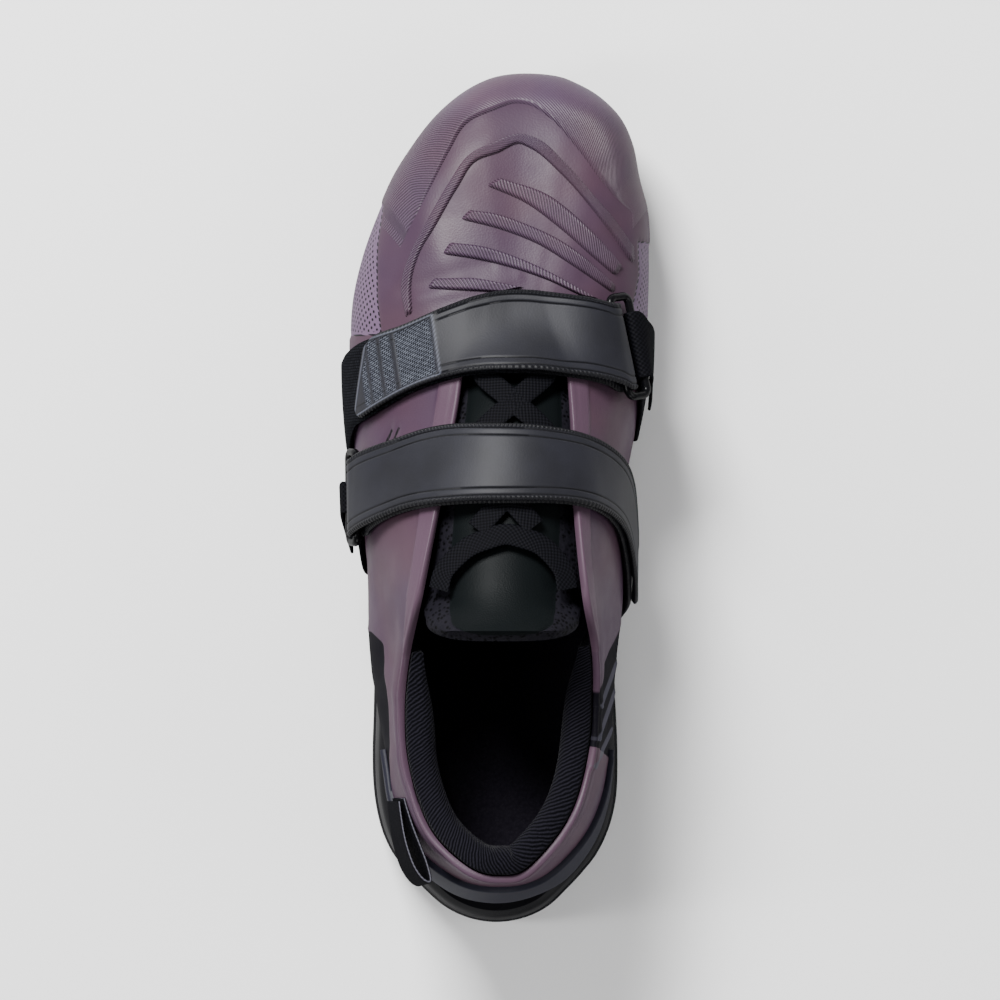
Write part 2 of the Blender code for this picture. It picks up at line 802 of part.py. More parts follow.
def lane_y(table, angle, lane, narrow):
    front = along(smooth(column(table, 0), column(table, 1), angle))
    rear = along(smooth(column(table, 0), column(table, 2), angle))
    return (front - narrow) * (1 - lane) + (rear + narrow) * lane


def fold_frame(table, angle, step, seat, radius, lane, narrow=0.0):
    """Where a strap folds: the middle of the fold, and the ways along and off the foot."""
    here, square = girth(angle, lane_y(table, angle, lane, narrow), 0)
    before, _ = girth(angle - step * 3, lane_y(table, angle - step * 3, lane, narrow), 0)
    onward = here - before
    onward -= square * onward.dot(square)
    onward /= np.linalg.norm(onward)
    return here + square * (seat + radius), onward, square


def bar_frame(table, fold, step, thick, seat, bar, narrow=0.0):
    """The bar inside a fold: its middle, the way along it, the way onward and its half length."""
    radius = bar / 2 + GAP + thick / 2
    ends = [fold_frame(table, fold, step, seat + thick / 2, radius, lane, narrow) for lane in (0.0, 1.0)]
    middle = (ends[0][0] + ends[1][0]) / 2
    run = ends[0][0] - ends[1][0]
    half = np.linalg.norm(run) / 2
    run /= np.linalg.norm(run)
    onward = ends[0][1] + ends[1][1]
    onward -= run * onward.dot(run)
    onward /= np.linalg.norm(onward)
    return middle, run, onward, half


def folded_strap(name, look, table, anchor, fold, free, seat, thick, bar, end_seat=None, narrow=0.0, held=None):
    """A strap from its anchored end, folded round a bar and back to its free end.
    held is a bar that has its place already: its middle, the way along it and the way onward."""
    step = 1 if fold > anchor else -1
    inner = bar / 2 + GAP
    radius = inner + thick / 2
    end_seat = seat if end_seat is None else end_seat
    rings = []

    def blend(angle):
        near = max(0.0, 1 - abs(fold - angle) / FOLD_BLEND)
        return near * near * (3 - 2 * near)

    def layer(angles, upper):
        length = 0.0
        before = None
        made = []
        for angle in angles:
            points = []
            for lane in LANES:
                at_y = lane_y(table, angle, lane, narrow)
                near = blend(angle)
                under = seat + (end_seat - seat) * near
                lift = thick + LAYER_GAP + (2 * inner - LAYER_GAP) * near
                base = under + (lift if upper else 0)
                far, close = girth(angle, at_y, base + thick)[0], girth(angle, at_y, base)[0]
                points.append((far, close) if upper else (close, far))
            middle = points[1][0]
            length += 0 if before is None else np.linalg.norm(middle - before)
            before = middle
            made.append((length, points))
        return made

    clear = step * FOLD_CLEAR if held else 0
    count = ANCHOR_STATIONS if held else STRAP_STATIONS
    for _, points in layer(np.linspace(anchor, fold - clear, count)[:-1], False):
        rings.append([p[0] for p in points] + [p[1] for p in points][::-1])
    middle, run, onward, half = bar_frame(table, fold, step, thick, end_seat, bar, narrow)
    if held:
        middle, run, onward = held
    square = np.cross(run, onward) * (1 if np.cross(run, onward)[2] > 0 else -1)
    for turned in np.radians(np.linspace(-90, 90, FOLD_STATIONS)):
        way = onward * math.cos(turned) + square * math.sin(turned)
        spots = [middle + run * half * (1 - 2 * lane) for lane in LANES]
        outer_side = [spot + way * (radius + thick / 2) for spot in spots]
        inner_side = [spot + way * (radius - thick / 2) for spot in spots]
        rings.append(outer_side + inner_side[::-1])
    back = layer(np.linspace(fold - clear, free, count - FREE_STATIONS // 2 if held else count + FREE_STATIONS)[1:], True)
    whole = back[-1][0]
    for length, points in back:
        left = whole - length
        cut = 0.0
        if left < FREE_ROUND:
            cut = FREE_ROUND - math.sqrt(max(0.0, FREE_ROUND**2 - (FREE_ROUND - left) ** 2))
        wide = np.linalg.norm(points[0][0] - points[-1][0])
        share = min(0.42, cut / wide)
        drawn = []
        for side in (0, 1):
            front, rear = points[0][side], points[-1][side]
            drawn.append([front + (rear - front) * share, points[1][side], rear + (front - rear) * share])
        rings.append(drawn[0] + drawn[1][::-1])
    return loft(name, rings, look)


def ring(name, frame_, reach):
    """A wire ring with rounded corners, its first bar inside the strap's fold."""
    middle, bar, onward, half = frame_
    off = np.cross(bar, onward)
    corner = 2.5 * MM
    half_bar, half_reach = half + RING_WIRE / 2 + 2 * GAP, reach / 2
    centre = middle + onward * half_reach
    rings = []
    for quarter, (sx, sy) in enumerate(((1, 1), (-1, 1), (-1, -1), (1, -1))):
        for turned in np.radians(np.linspace(0, 90, 3) + 90 * quarter):
            across_bar = sx * (half_bar - corner) + corner * math.cos(turned)
            along_reach = sy * (half_reach - corner) + corner * math.sin(turned)
            spot = centre + bar * across_bar + onward * along_reach
            out_way = bar * math.cos(turned) + onward * math.sin(turned)
            rings.append(
                [
                    spot + (out_way * math.cos(a) + off * math.sin(a)) * RING_WIRE / 2
                    for a in np.radians(np.arange(0, 360, 60))
                ]
            )
    return loft(name, rings, ring_look, ring_closed=True)


FOREFOOT_FOLD, FOREFOOT_ANCHOR, FOREFOOT_FREE = 152, -30, 15
ANKLE_FOLD, ANKLE_ANCHOR, ANKLE_FREE = 20, 200, 192
folded_strap(
    "strap_forefoot",
    strap_look,
    STRAP_FOREFOOT,
    FOREFOOT_ANCHOR,
    FOREFOOT_FOLD,
    FOREFOOT_FREE,
    STRAP_SEAT,
    STRAP,
    RING_WIRE,
)
folded_strap(
    "strap_ankle",
    strap_look,
    STRAP_ANKLE,
    ANKLE_ANCHOR,
    ANKLE_FOLD,
    ANKLE_FREE,
    STRAP_SEAT,
    STRAP,
    RING_WIRE,
)
forefoot_bar = bar_frame(STRAP_FOREFOOT, FOREFOOT_FOLD, 1, STRAP, STRAP_SEAT, RING_WIRE)
ankle_bar = bar_frame(STRAP_ANKLE, ANKLE_FOLD, -1, STRAP, STRAP_SEAT, RING_WIRE)
ring("ring_forefoot", forefoot_bar, RING_REACH)
ring("ring_ankle", ankle_bar, RING_REACH)


# Webbing that holds each ring: up from the sole's edge, round the ring's far bar and back down

ANCHOR_FOREFOOT = (
    # angle, along of the front edge, along of the rear edge
    (145, 0.7225, 0.6245),
    (165, 0.7200, 0.6220),
    (182, 0.700, 0.580),
    (200, 0.680, 0.560),
    (222, 0.664, 0.560),
)
ANCHOR_ANKLE = (
    (-40, 0.450, 0.404),
    (-28, 0.460, 0.400),
    (-15, 0.490, 0.404),
    (8, 0.521, 0.464),
    (25, 0.524, 0.467),
)
ANCHOR_INSET = 3.0 * MM
FOREFOOT_RING_ANCHOR, ANKLE_RING_ANCHOR = 208, -20
ANCHOR_TAIL = 16


def far_bar(frame_):
    """The angle of a ring's far bar round the foot, its height off the skin, and the bar itself."""
    middle, run, onward, _ = frame_
    spot = middle + onward * RING_REACH
    away = spot - np.array([GIRTH_AXIS.x, spot[1], GIRTH_AXIS.z])
    angle = math.degrees(math.atan2(away[2], -away[0]))
    skin, square = girth(angle, spot[1], 0)
    square -= run * square.dot(run)
    square /= np.linalg.norm(square)
    back = np.cross(run, square)
    back *= -np.sign(back.dot(onward))
    return angle, float(np.dot(spot - skin, square)), (spot, run, back)


def ring_anchor(name, table, frame_, anchor):
    angle, height, bar = far_bar(frame_)
    radius = RING_WIRE / 2 + GAP + WEBBING / 2
    step = 1 if angle > anchor else -1
    return folded_strap(
        name,
        webbing_look,
        table,
        anchor,
        angle,
        angle - step * ANCHOR_TAIL,
        GAP,
        WEBBING,
        RING_WIRE,
        end_seat=height - radius - WEBBING / 2,
        narrow=ANCHOR_INSET,
        held=bar,
    )


ring_anchor("anchor_forefoot", ANCHOR_FOREFOOT, forefoot_bar, FOREFOOT_RING_ANCHOR)
ring_anchor("anchor_ankle", ANCHOR_ANKLE, ankle_bar, ANKLE_RING_ANCHOR)


# Mouldings on the vamp: lines drawn in plan, as shares of the ball width and the length, from lateral to medial

BUMPER_INNER = (
    (-0.347, 0.7853),
    (-0.305, 0.8147),
    (-0.229, 0.8667),
    (-0.169, 0.9093),
    (-0.112, 0.9413),
    (-0.021, 0.9573),
    (0.055, 0.9660),
    (0.100, 0.9633),
    (0.161, 0.9493),
    (0.256, 0.9120),
    (0.347, 0.8693),
    (0.415, 0.8440),
    (0.441, 0.8360),
)
BAND_OUTER = (
    (-0.312, 0.7147),
    (-0.328, 0.7480),
    (-0.297, 0.7880),
    (-0.252, 0.8200),
    (-0.169, 0.8720),
    (-0.104, 0.9040),
    (-0.036, 0.9173),
    (0.063, 0.9293),
    (0.123, 0.9240),
    (0.218, 0.8947),
    (0.309, 0.8573),
    (0.384, 0.8253),
    (0.437, 0.7987),
)
BAND_INNER = (
    (-0.290, 0.7147),
    (-0.294, 0.7480),
    (-0.267, 0.7880),
    (-0.214, 0.8200),
    (-0.138, 0.8667),
    (-0.081, 0.8960),
    (-0.006, 0.9067),
    (0.063, 0.9173),
    (0.100, 0.9120),
    (0.199, 0.8827),
    (0.309, 0.8387),
    (0.384, 0.8040),
    (0.437, 0.7773),
)
RIBS = (
    # upper and lower line of each rib
    (
        ((0.002, 0.877), (0.161, 0.857), (0.256, 0.831), (0.347, 0.799), (0.400, 0.776)),
        ((-0.047, 0.868), (0.085, 0.847), (0.199, 0.817), (0.309, 0.783), (0.380, 0.762)),
    ),
    (
        ((-0.097, 0.839), (-0.028, 0.836), (0.085, 0.823), (0.199, 0.804), (0.294, 0.780), (0.375, 0.754)),
        ((-0.131, 0.828), (0.009, 0.815), (0.123, 0.799), (0.233, 0.775), (0.347, 0.748), (0.372, 0.742)),
    ),
    (
        ((-0.161, 0.801), (-0.066, 0.797), (0.047, 0.785), (0.161, 0.767), (0.271, 0.745), (0.330, 0.733)),
        ((-0.191, 0.787), (-0.066, 0.780), (0.055, 0.769), (0.161, 0.756), (0.240, 0.743), (0.275, 0.737)),
    ),
    (
        ((-0.214, 0.759), (-0.104, 0.759), (0.009, 0.753), (0.080, 0.7475)),
        ((-0.236, 0.7465), (-0.150, 0.7445), (-0.066, 0.7435), (0.000, 0.7425)),
    ),
)


def line_at(line, t):
    """A smooth line through plan points, t from 0 to 1 along it."""
    points = np.array([(across(x), along(y)) for x, y in line])
    run = np.concatenate([[0], np.cumsum(np.linalg.norm(np.diff(points, axis=0), axis=1))])
    return np.stack([smooth(run / run[-1], points[:, k], t) for k in (0, 1)], -1)


def moulding(name, outer_line, inner_line, look, count, lanes=4):
    """A raised strip of the vamp between two lines."""
    rings = []
    for t in np.linspace(0, 1, count):
        a, b = line_at(outer_line, t), line_at(inner_line, t)
        spots = [a + (b - a) * c for c in np.linspace(0, 1, lanes)]
        over = [onto(*spot, MOULD_GAP + OVERLAY) for spot in spots]
        under = [onto(*spot, MOULD_GAP) for spot in spots]
        rings.append(over + under[::-1])
    return loft(name, rings, look)


def rise_at_line(turn, line):
    """How far up a section of the upper its plan crosses a line that runs round the toe."""
    points = line_at(line, np.linspace(0, 1, 80))
    low, high = LOW_SHARE, 0.95
    for _ in range(24):
        middle = (low + high) / 2
        x, y = upper_point(turn, middle)[:2]
        beyond = np.interp(x, points[:, 0], points[:, 1])
        low, high = (middle, high) if y > beyond or x < points[0, 0] or x > points[-1, 0] else (low, middle)
    return (low + high) / 2


BUMPER_TURNS = (0.728, 1.262)
BUMPER_FOOT = 0.07
BUMPER_STATIONS = 28
bumper_turns = np.linspace(*BUMPER_TURNS, BUMPER_STATIONS)
bumper_top = np.array([rise_at_line(turn, BUMPER_INNER) for turn in bumper_turns])
from_end = np.minimum(np.arange(BUMPER_STATIONS), np.arange(BUMPER_STATIONS)[::-1])
ends_share = np.clip(from_end / 3.0, 0, 1)
bumper_foot = LOW_SHARE + (BUMPER_FOOT - LOW_SHARE) * ends_share
upper_overlay("toe_bumper", purple, bumper_turns, bumper_foot, np.maximum(bumper_top, 0.24), OVERLAY, 5)
moulding("toe_band", BAND_OUTER, BAND_INNER, purple, BAND_STATIONS, 2)
for number, (top_line, bottom_line) in enumerate(RIBS):
    moulding(f"vamp_rib_{number + 1}", top_line, bottom_line, purple, RIB_STATIONS, 3)

# Heel counter: a moulded band round the back of the upper

COUNTER_ROWS = (
    # turn, low, high
    (1.72, 0.30, 0.34),
    (1.80, 0.26, 0.50),
    (1.90, 0.24, 0.60),
    (2.00, 0.24, 0.64),
    (2.10, 0.24, 0.60),
    (2.20, 0.26, 0.50),
    (2.28, 0.30, 0.34),
)
counter_turns = np.linspace(COUNTER_ROWS[0][0], COUNTER_ROWS[-1][0], COUNTER_STATIONS)
upper_overlay(
    "heel_counter",
    slate,
    counter_turns,
    smooth(column(COUNTER_ROWS, 0), column(COUNTER_ROWS, 1), counter_turns),
    smooth(column(COUNTER_ROWS, 0), column(COUNTER_ROWS, 2), counter_turns),
    COUNTER_THICK,
    4,
)

# Lace: one flat lace with its crossings joined, over the tongue and under the straps

LACE_TOP = (
    # turn of the throat, share of the way across
    (0.460, 0.110),
    (0.474, 0.130),
    (0.488, 0.250),
    (0.494, 0.400),
    (0.496, 0.500),
    (0.494, 0.600),
    (0.488, 0.750),
    (0.474, 0.870),
    (0.460, 0.890),
)
LACE_CROSSING = (
    (0.500, 0.30),
    (0.524, 0.52),
    (0.546, 0.76),
    (0.556, 0.80),
    (0.568, 0.76),
    (0.592, 0.50),
    (0.616, 0.24),
    (0.628, 0.20),
)


def lace_path(points, count):
    t = np.linspace(0, 1, len(points))
    turns_ = smooth(t, column(points, 0), np.linspace(0, 1, count))
    shares = smooth(t, column(points, 1), np.linspace(0, 1, count))
    return [(turn, share) for turn, share in zip(turns_, shares)]


def flat_lace(name, points, count):
    """A flat lace along a path on the arch over the throat."""
    path = lace_path(points, count)
    spots = [throat_point(turn, share) for turn, share in path]
    rings = []
    d = 5e-3
    for i, (spot, (turn, share)) in enumerate(zip(spots, path)):
        run = spots[min(i + 1, count - 1)] - spots[max(i - 1, 0)]
        over = throat_point(turn, share + d) - throat_point(turn, share - d)
        up = np.cross(over, throat_point(turn - d, share) - throat_point(turn + d, share))
        up *= -np.sign(up[2]) / -np.linalg.norm(up)
        side = np.cross(up, run)
        side /= np.linalg.norm(side)
        half = side * LACE_WIDTH / 2
        low, high = spot - up * (LACE_THICK + LACE_GAP), spot - up * LACE_GAP
        rings.append([low - half, low + half, high + half, high - half])
    return loft(name, rings, webbing_look)


mirrored = tuple((turn, 1 - share) for turn, share in LACE_CROSSING)
lace = flat_lace("lace", LACE_TOP, LACE_TOP_STATIONS)
for number, route in enumerate((LACE_CROSSING, mirrored)):
    other = flat_lace(f"lace_crossing_{number + 1}", route, LACE_CROSSING_STATIONS)
    shoe.objects.unlink(other)
    cutters.objects.link(other)
    other.hide_render = True
    other.display_type = "WIRE"
    joined = lace.modifiers.new(other.name, "BOOLEAN")
    joined.object = other
    joined.operation = "UNION"

# Pull loop: a ribbon stitched to the back of the heel on the lateral side

LOOP_PATH = (
    # turn, rise of the top edge on the upper, distance out from the upper as a share of LOOP_FLARE
    (0.228, 0.84, 0.06),
    (0.200, 0.85, 0.12),
    (0.172, 0.86, 0.24),
    (0.148, 0.86, 0.45),
    (0.130, 0.86, 0.72),
    (0.122, 0.85, 0.92),
    (0.130, 0.84, 1.00),
    (0.148, 0.83, 0.90),
    (0.172, 0.83, 0.66),
    (0.200, 0.83, 0.42),
    (0.226, 0.83, 0.25),
)
LOOP_FLARE = 10 * MM
LOOP_DROP = 0.25


def pull_loop():
    t = np.linspace(0, 1, len(LOOP_PATH))
    at = np.linspace(0, 1, LOOP_STATIONS)
    turn_, rise, out = (smooth(t, column(LOOP_PATH, k), at) for k in range(3))
    top = upper_skin(turn_, rise, 0) + upper_normal(turn_, rise) * (out * LOOP_FLARE)[:, None]
    low = rise - LOOP_DROP
    foot = upper_skin(turn_, low, 0) + upper_normal(turn_, low) * (out * LOOP_FLARE)[:, None]
    foot = top + (foot - top) * LOOP_WIDTH / np.linalg.norm(foot - top, axis=1)[:, None]
    run = np.gradient(top, axis=0)
    side = np.cross(run, foot - top)
    side *= LOOP_THICK / 2 / np.linalg.norm(side, axis=1)[:, None]
    rings = np.stack([top - side, top + side, foot + side, foot - side], axis=1)
    return loft("pull_loop", rings, webbing_look)


pull_loop()
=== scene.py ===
"""The finished look of a left weightlifting shoe, seen from straight above: coated leather over a raised
hard heel, two hook-and-loop straps folded round rings, a flat lace and a padded collar."""

import math

import bmesh
import bpy
import numpy as np
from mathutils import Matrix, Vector
from mathutils.bvhtree import BVHTree


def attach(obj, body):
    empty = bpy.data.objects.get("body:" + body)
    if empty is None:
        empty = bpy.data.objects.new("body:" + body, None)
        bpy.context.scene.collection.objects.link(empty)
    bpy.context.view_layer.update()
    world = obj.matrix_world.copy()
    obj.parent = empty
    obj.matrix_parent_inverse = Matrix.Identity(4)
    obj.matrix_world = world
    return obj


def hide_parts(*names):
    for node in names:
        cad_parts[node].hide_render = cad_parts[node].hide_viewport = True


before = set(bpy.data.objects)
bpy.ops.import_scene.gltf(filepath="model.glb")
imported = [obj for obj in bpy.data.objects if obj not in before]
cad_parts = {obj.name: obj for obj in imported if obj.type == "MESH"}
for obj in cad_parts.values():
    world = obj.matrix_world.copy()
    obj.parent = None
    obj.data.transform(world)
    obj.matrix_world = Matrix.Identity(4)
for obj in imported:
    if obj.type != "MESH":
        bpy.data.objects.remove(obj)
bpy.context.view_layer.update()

# Studio
# A pale table seen from straight above through a long lens. One soft box beyond the toe gives most of the
# light. A weak one on the inner side and strips at the heel and the outer side edge the gloss.

VIEW_CENTRE = (0.0, 0.107)
VIEW_WIDTH = 0.352
VIEW_HEIGHT = 3.0
SHOE_LEVEL = 0.05
TABLE_SIZE = 6.0


def colour(code):
    """Linear red, green, blue and alpha of an sRGB hex colour."""
    parts = [int(code[at : at + 2], 16) / 255 for at in (1, 3, 5)]
    return (*[p / 12.92 if p <= 0.04045 else ((p + 0.055) / 1.055) ** 2.4 for p in parts], 1.0)


def add(tree, kind, inputs=None, **settings):
    """A node with its settings; each input is a number, a colour or another node's output."""
    made = tree.nodes.new(kind)
    for name, value in settings.items():
        setattr(made, name, value)
    for socket, value in (inputs or {}).items():
        if isinstance(value, bpy.types.NodeSocket):
            tree.links.new(value, made.inputs[socket])
        else:
            made.inputs[socket].default_value = value
    return made


def finish_of(name, sockets, mirror=0.0):
    """A new material with the numbers of its shader; mirror is the plain gloss of its ground."""
    made = bpy.data.materials.new(name)
    made.use_nodes = True
    tree = made.node_tree
    shader = tree.nodes["Principled BSDF"]
    for socket, value in {"Specular IOR Level": mirror, **sockets}.items():
        shader.inputs[socket].default_value = value
    return made, tree, shader


def relieve(tree, shader, raised):
    """Ground and coat take the same fine relief."""
    for socket in ("Normal", "Coat Normal"):
        tree.links.new(raised.outputs["Normal"], shader.inputs[socket])


def lamp(name, place, target, size, power, tint="#FFFFFF"):
    light = bpy.data.lights.new(name, "AREA")
    light.shape = "RECTANGLE"
    light.size, light.size_y = size
    light.energy = power
    light.color = colour(tint)[:3]
    made = bpy.data.objects.new(name, light)
    bpy.context.scene.collection.objects.link(made)
    made.location = place
    made.rotation_euler = (Vector(target) - Vector(place)).to_track_quat("-Z", "Y").to_euler()


camera = bpy.data.objects.new("camera", bpy.data.cameras.new("camera"))
bpy.context.scene.collection.objects.link(camera)
camera.location = (*VIEW_CENTRE, VIEW_HEIGHT)
camera.data.lens = camera.data.sensor_width * (VIEW_HEIGHT - SHOE_LEVEL) / VIEW_WIDTH
camera.data.clip_end = 20
bpy.context.scene.camera = camera

shoe_middle = (*VIEW_CENTRE, SHOE_LEVEL)
lamp("toe_soft_box", (-0.5, 1.2, 1.35), shoe_middle, (0.6, 0.6), 86)
lamp("inner_soft_box", (1.2, -0.1, 0.9), shoe_middle, (0.9, 0.6), 7)
lamp("heel_strip", (0.1, -1.2, 0.8), shoe_middle, (0.8, 0.25), 6)
lamp("outer_strip", (-1.1, 0.0, 0.9), shoe_middle, (0.2, 1.0), 9)
world = bpy.data.worlds.new("studio")
world.use_nodes = True
world.node_tree.nodes["Background"].inputs["Color"].default_value = colour("#F4F4F6")
world.node_tree.nodes["Background"].inputs["Strength"].default_value = 0.32
bpy.context.scene.world = world

table_look, _, _ = finish_of("white_paper", {"Base Color": colour("#F2F2F2"), "Roughness": 0.9}, 0.5)
half = TABLE_SIZE / 2
corners = [(-half, -half, 0), (half, -half, 0), (half, half, 0), (-half, half, 0)]
table_mesh = bpy.data.meshes.new("table")
table_mesh.from_pydata(corners, [], [(0, 1, 2, 3)])
table_mesh.materials.append(table_look)
table = bpy.data.objects.new("table", table_mesh)
bpy.context.scene.collection.objects.link(table)

# Sole
# A flat rubber outsole under a wedge midsole and a hard heel block, pressed and cemented together. The
# outsole is dull moulded rubber with cross grooves, the heel a glossy injection moulding with steps.

MM = 0.001
LENGTH = 300 * MM
BALL_WIDTH = 105.6 * MM
HEEL_TO_ORIGIN = 43 * MM
COLLAR_HEIGHT = 100 * MM
HEEL_STACK = 33 * MM
BALL_STACK = 13 * MM
TOE_SPRING = 9 * MM
WAIST_RISE = 2.5 * MM
GAP = 0.3 * MM
WALL = 2.2 * MM
OUTSOLE = 4.5 * MM
INSOLE = 4.0 * MM
INSOLE_CUP = 3.0 * MM
TUCK = 4.0 * MM
LINING_FOOT = 1.8 * MM
GROOVE_WIDTH = 2.6 * MM
GROOVE_DEPTH = 1.5 * MM
GROOVE_LIP = 0.1 * MM

UPPER_PLAN = (
    # along, lateral, medial
    (0.033, -0.013, -0.013),
    (0.041, -0.134, 0.108),
    (0.057, -0.210, 0.199),
    (0.079, -0.278, 0.259),
    (0.112, -0.335, 0.316),
    (0.152, -0.366, 0.350),
    (0.199, -0.385, 0.366),
    (0.252, -0.413, 0.381),
    (0.305, -0.434, 0.390),
    (0.359, -0.441, 0.407),
    (0.412, -0.446, 0.414),
    (0.465, -0.455, 0.416),
    (0.519, -0.474, 0.422),
    (0.572, -0.491, 0.449),
    (0.625, -0.504, 0.479),
    (0.679, -0.506, 0.494),
    (0.732, -0.500, 0.502),
    (0.785, -0.468, 0.504),
    (0.839, -0.413, 0.498),
    (0.879, -0.362, 0.468),
    (0.919, -0.286, 0.441),
    (0.945, -0.225, 0.405),
    (0.972, -0.138, 0.328),
    (0.988, -0.063, 0.248),
    (0.995, -0.009, 0.195),
    (0.9987, 0.085, 0.085),
)
SOLE_PLAN = (
    # along, lateral, medial
    (0.000, -0.013, -0.013),
    (0.019, -0.187, 0.161),
    (0.039, -0.252, 0.222),
    (0.059, -0.305, 0.275),
    (0.079, -0.354, 0.320),
    (0.099, -0.384, 0.350),
    (0.139, -0.415, 0.384),
    (0.199, -0.426, 0.392),
    (0.252, -0.422, 0.386),
    (0.305, -0.420, 0.375),
    (0.385, -0.424, 0.358),
    (0.465, -0.441, 0.375),
    (0.545, -0.464, 0.413),
    (0.625, -0.487, 0.455),
    (0.692, -0.491, 0.479),
    (0.759, -0.472, 0.487),
    (0.839, -0.396, 0.481),
    (0.879, -0.347, 0.451),
    (0.919, -0.271, 0.422),
    (0.945, -0.210, 0.388),
    (0.972, -0.123, 0.311),
    (0.985, -0.051, 0.233),
    (0.9927, 0.081, 0.081),
)
FOOTBED = (
    # along, share of the way from the ball's height to the heel's
    (0.00, 1.00),
    (0.22, 1.00),
    (0.32, 0.86),
    (0.42, 0.56),
    (0.52, 0.24),
    (0.62, 0.05),
    (0.70, 0.00),
    (1.00, 0.00),
)
UNDERSIDE = (
    # along, share of the toe spring, share of the waist's rise
    (0.000, 0.00, 0.0),
    (0.330, 0.00, 0.0),
    (0.380, 0.00, 0.7),
    (0.430, 0.00, 1.0),
    (0.480, 0.00, 0.7),
    (0.530, 0.00, 0.0),
    (0.780, 0.00, 0.0),
    (0.860, 0.16, 0.0),
    (0.930, 0.52, 0.0),
    (1.000, 1.00, 0.0),
)


def column(rows, number):
    return [row[number] for row in rows]


def smooth(places, values, at, free=False):
    """A smooth curve through values at rising places; unless free, it never swings beyond them."""
    places = np.asarray(places, float)
    values = np.asarray(values, float)
    at = np.clip(np.asarray(at, float), places[0], places[-1])
    extra = (1,) * (values.ndim - 1)
    gaps = np.diff(places)
    step = gaps.reshape(-1, *extra)
    rise = np.diff(values, axis=0) / step
    slope = np.empty_like(values)
    slope[0] = rise[0]
    slope[-1] = rise[-1]
    slope[1:-1] = (rise[:-1] * step[1:] + rise[1:] * step[:-1]) / (step[:-1] + step[1:])
    if not free:
        flat = np.zeros_like(values, bool)
        flat[1:-1] = rise[:-1] * rise[1:] <= 0
        slope[flat] = 0
    i = np.clip(np.searchsorted(places, at, side="right") - 1, 0, len(gaps) - 1)
    t = ((at - places[i]) / gaps[i]).reshape(at.shape + extra)
    wide = gaps[i].reshape(at.shape + extra)
    stay = values[i] * (1 + 2 * t) * (1 - t) ** 2 + slope[i] * wide * t * (1 - t) ** 2
    go = values[i + 1] * t * t * (3 - 2 * t) - slope[i + 1] * wide * t * t * (1 - t)
    return stay + go


def along(share):
    """World y of a share of the shoe's length, counted from the back of the heel."""
    return share * LENGTH - HEEL_TO_ORIGIN


def share_of(y):
    return (y + HEEL_TO_ORIGIN) / LENGTH


def toe_rise(y):
    return TOE_SPRING * smooth(column(UNDERSIDE, 0), column(UNDERSIDE, 1), share_of(y))


def footbed(y):
    heel_share = smooth(column(FOOTBED, 0), column(FOOTBED, 1), share_of(y))
    return BALL_STACK + (HEEL_STACK - BALL_STACK) * heel_share + toe_rise(y)


def underside(y):
    return toe_rise(y) + WAIST_RISE * smooth(column(UNDERSIDE, 0), column(UNDERSIDE, 2), share_of(y))


def plan_point(plan, turn):
    """A point of an outline. turn runs 0 to 1 on the outer side, heel to toe, and 1 to 2 back."""
    turn = np.asarray(turn, float) % 2
    side = np.where(turn <= 1, turn, 2 - turn)
    ends = plan[0][0], plan[-1][0]
    places = [math.acos(1 - 2 * (row[0] - ends[0]) / (ends[1] - ends[0])) / math.pi for row in plan]
    outer = smooth(places, column(plan, 1), side)
    inner = smooth(places, column(plan, 2), side)
    y = along(ends[0] + (ends[1] - ends[0]) * (1 - np.cos(np.pi * side)) / 2)
    return np.stack([np.where(turn <= 1, outer, inner) * BALL_WIDTH, y], -1)


def plan_inward(plan, turn):
    run = plan_point(plan, np.asarray(turn) + 1e-3) - plan_point(plan, np.asarray(turn) - 1e-3)
    run /= np.linalg.norm(run, axis=-1, keepdims=True)
    return np.stack([run[..., 1], -run[..., 0]], -1)


def surface(name, points, look, fields=None, wrap=(False, True), caps=True, sharp=50, pinched=False):
    """A skin over a grid of points. fields hold vectors for each grid corner, kept as attributes."""
    count, size = points.shape[:2]
    rows, columns = count - (not wrap[0]), size - (not wrap[1])
    i, j = np.meshgrid(np.arange(rows), np.arange(columns), indexing="ij")
    i2, j2 = (i + 1) % count, (j + 1) % size
    quads = np.stack([i * size + j, i * size + j2, i2 * size + j2, i2 * size + j], -1).reshape(-1, 4)
    faces = quads.tolist()
    if caps and not wrap[0] and wrap[1]:
        faces += [list(range(size))[::-1], list(range((count - 1) * size, count * size))]
    data = bpy.data.meshes.new(name)
    data.from_pydata(points.reshape(-1, 3).tolist(), [], faces)
    for key, values in (fields or {}).items():
        corners = np.stack([values[i, j], values[i, j + 1], values[i + 1, j + 1], values[i + 1, j]], 2)
        flat = corners.reshape(-1, 3)
        if len(faces) > len(quads):
            flat = np.concatenate([flat, values[0, :size][::-1], values[-1, :size]])
        data.attributes.new(key, "FLOAT_VECTOR", "CORNER").data.foreach_set("vector", flat.ravel())
    mesh = bmesh_of(data)
    if pinched:
        bmesh.ops.remove_doubles(mesh, verts=mesh.verts, dist=2e-6)
        bmesh.ops.dissolve_degenerate(mesh, edges=mesh.edges, dist=1e-6)
    bmesh.ops.recalc_face_normals(mesh, faces=mesh.faces)
    mesh.to_mesh(data)
    mesh.free()
    return placed(name, data, look, sharp)


def bmesh_of(data):
    mesh = bmesh.new()
    mesh.from_mesh(data)
    return mesh


def placed(name, data, look, sharp=50):
    data.shade_smooth()
    data.set_sharp_from_angle(angle=math.radians(sharp))
    data.materials.append(look)
    made = bpy.data.objects.new(name, data)
    bpy.context.scene.collection.objects.link(made)
    return made


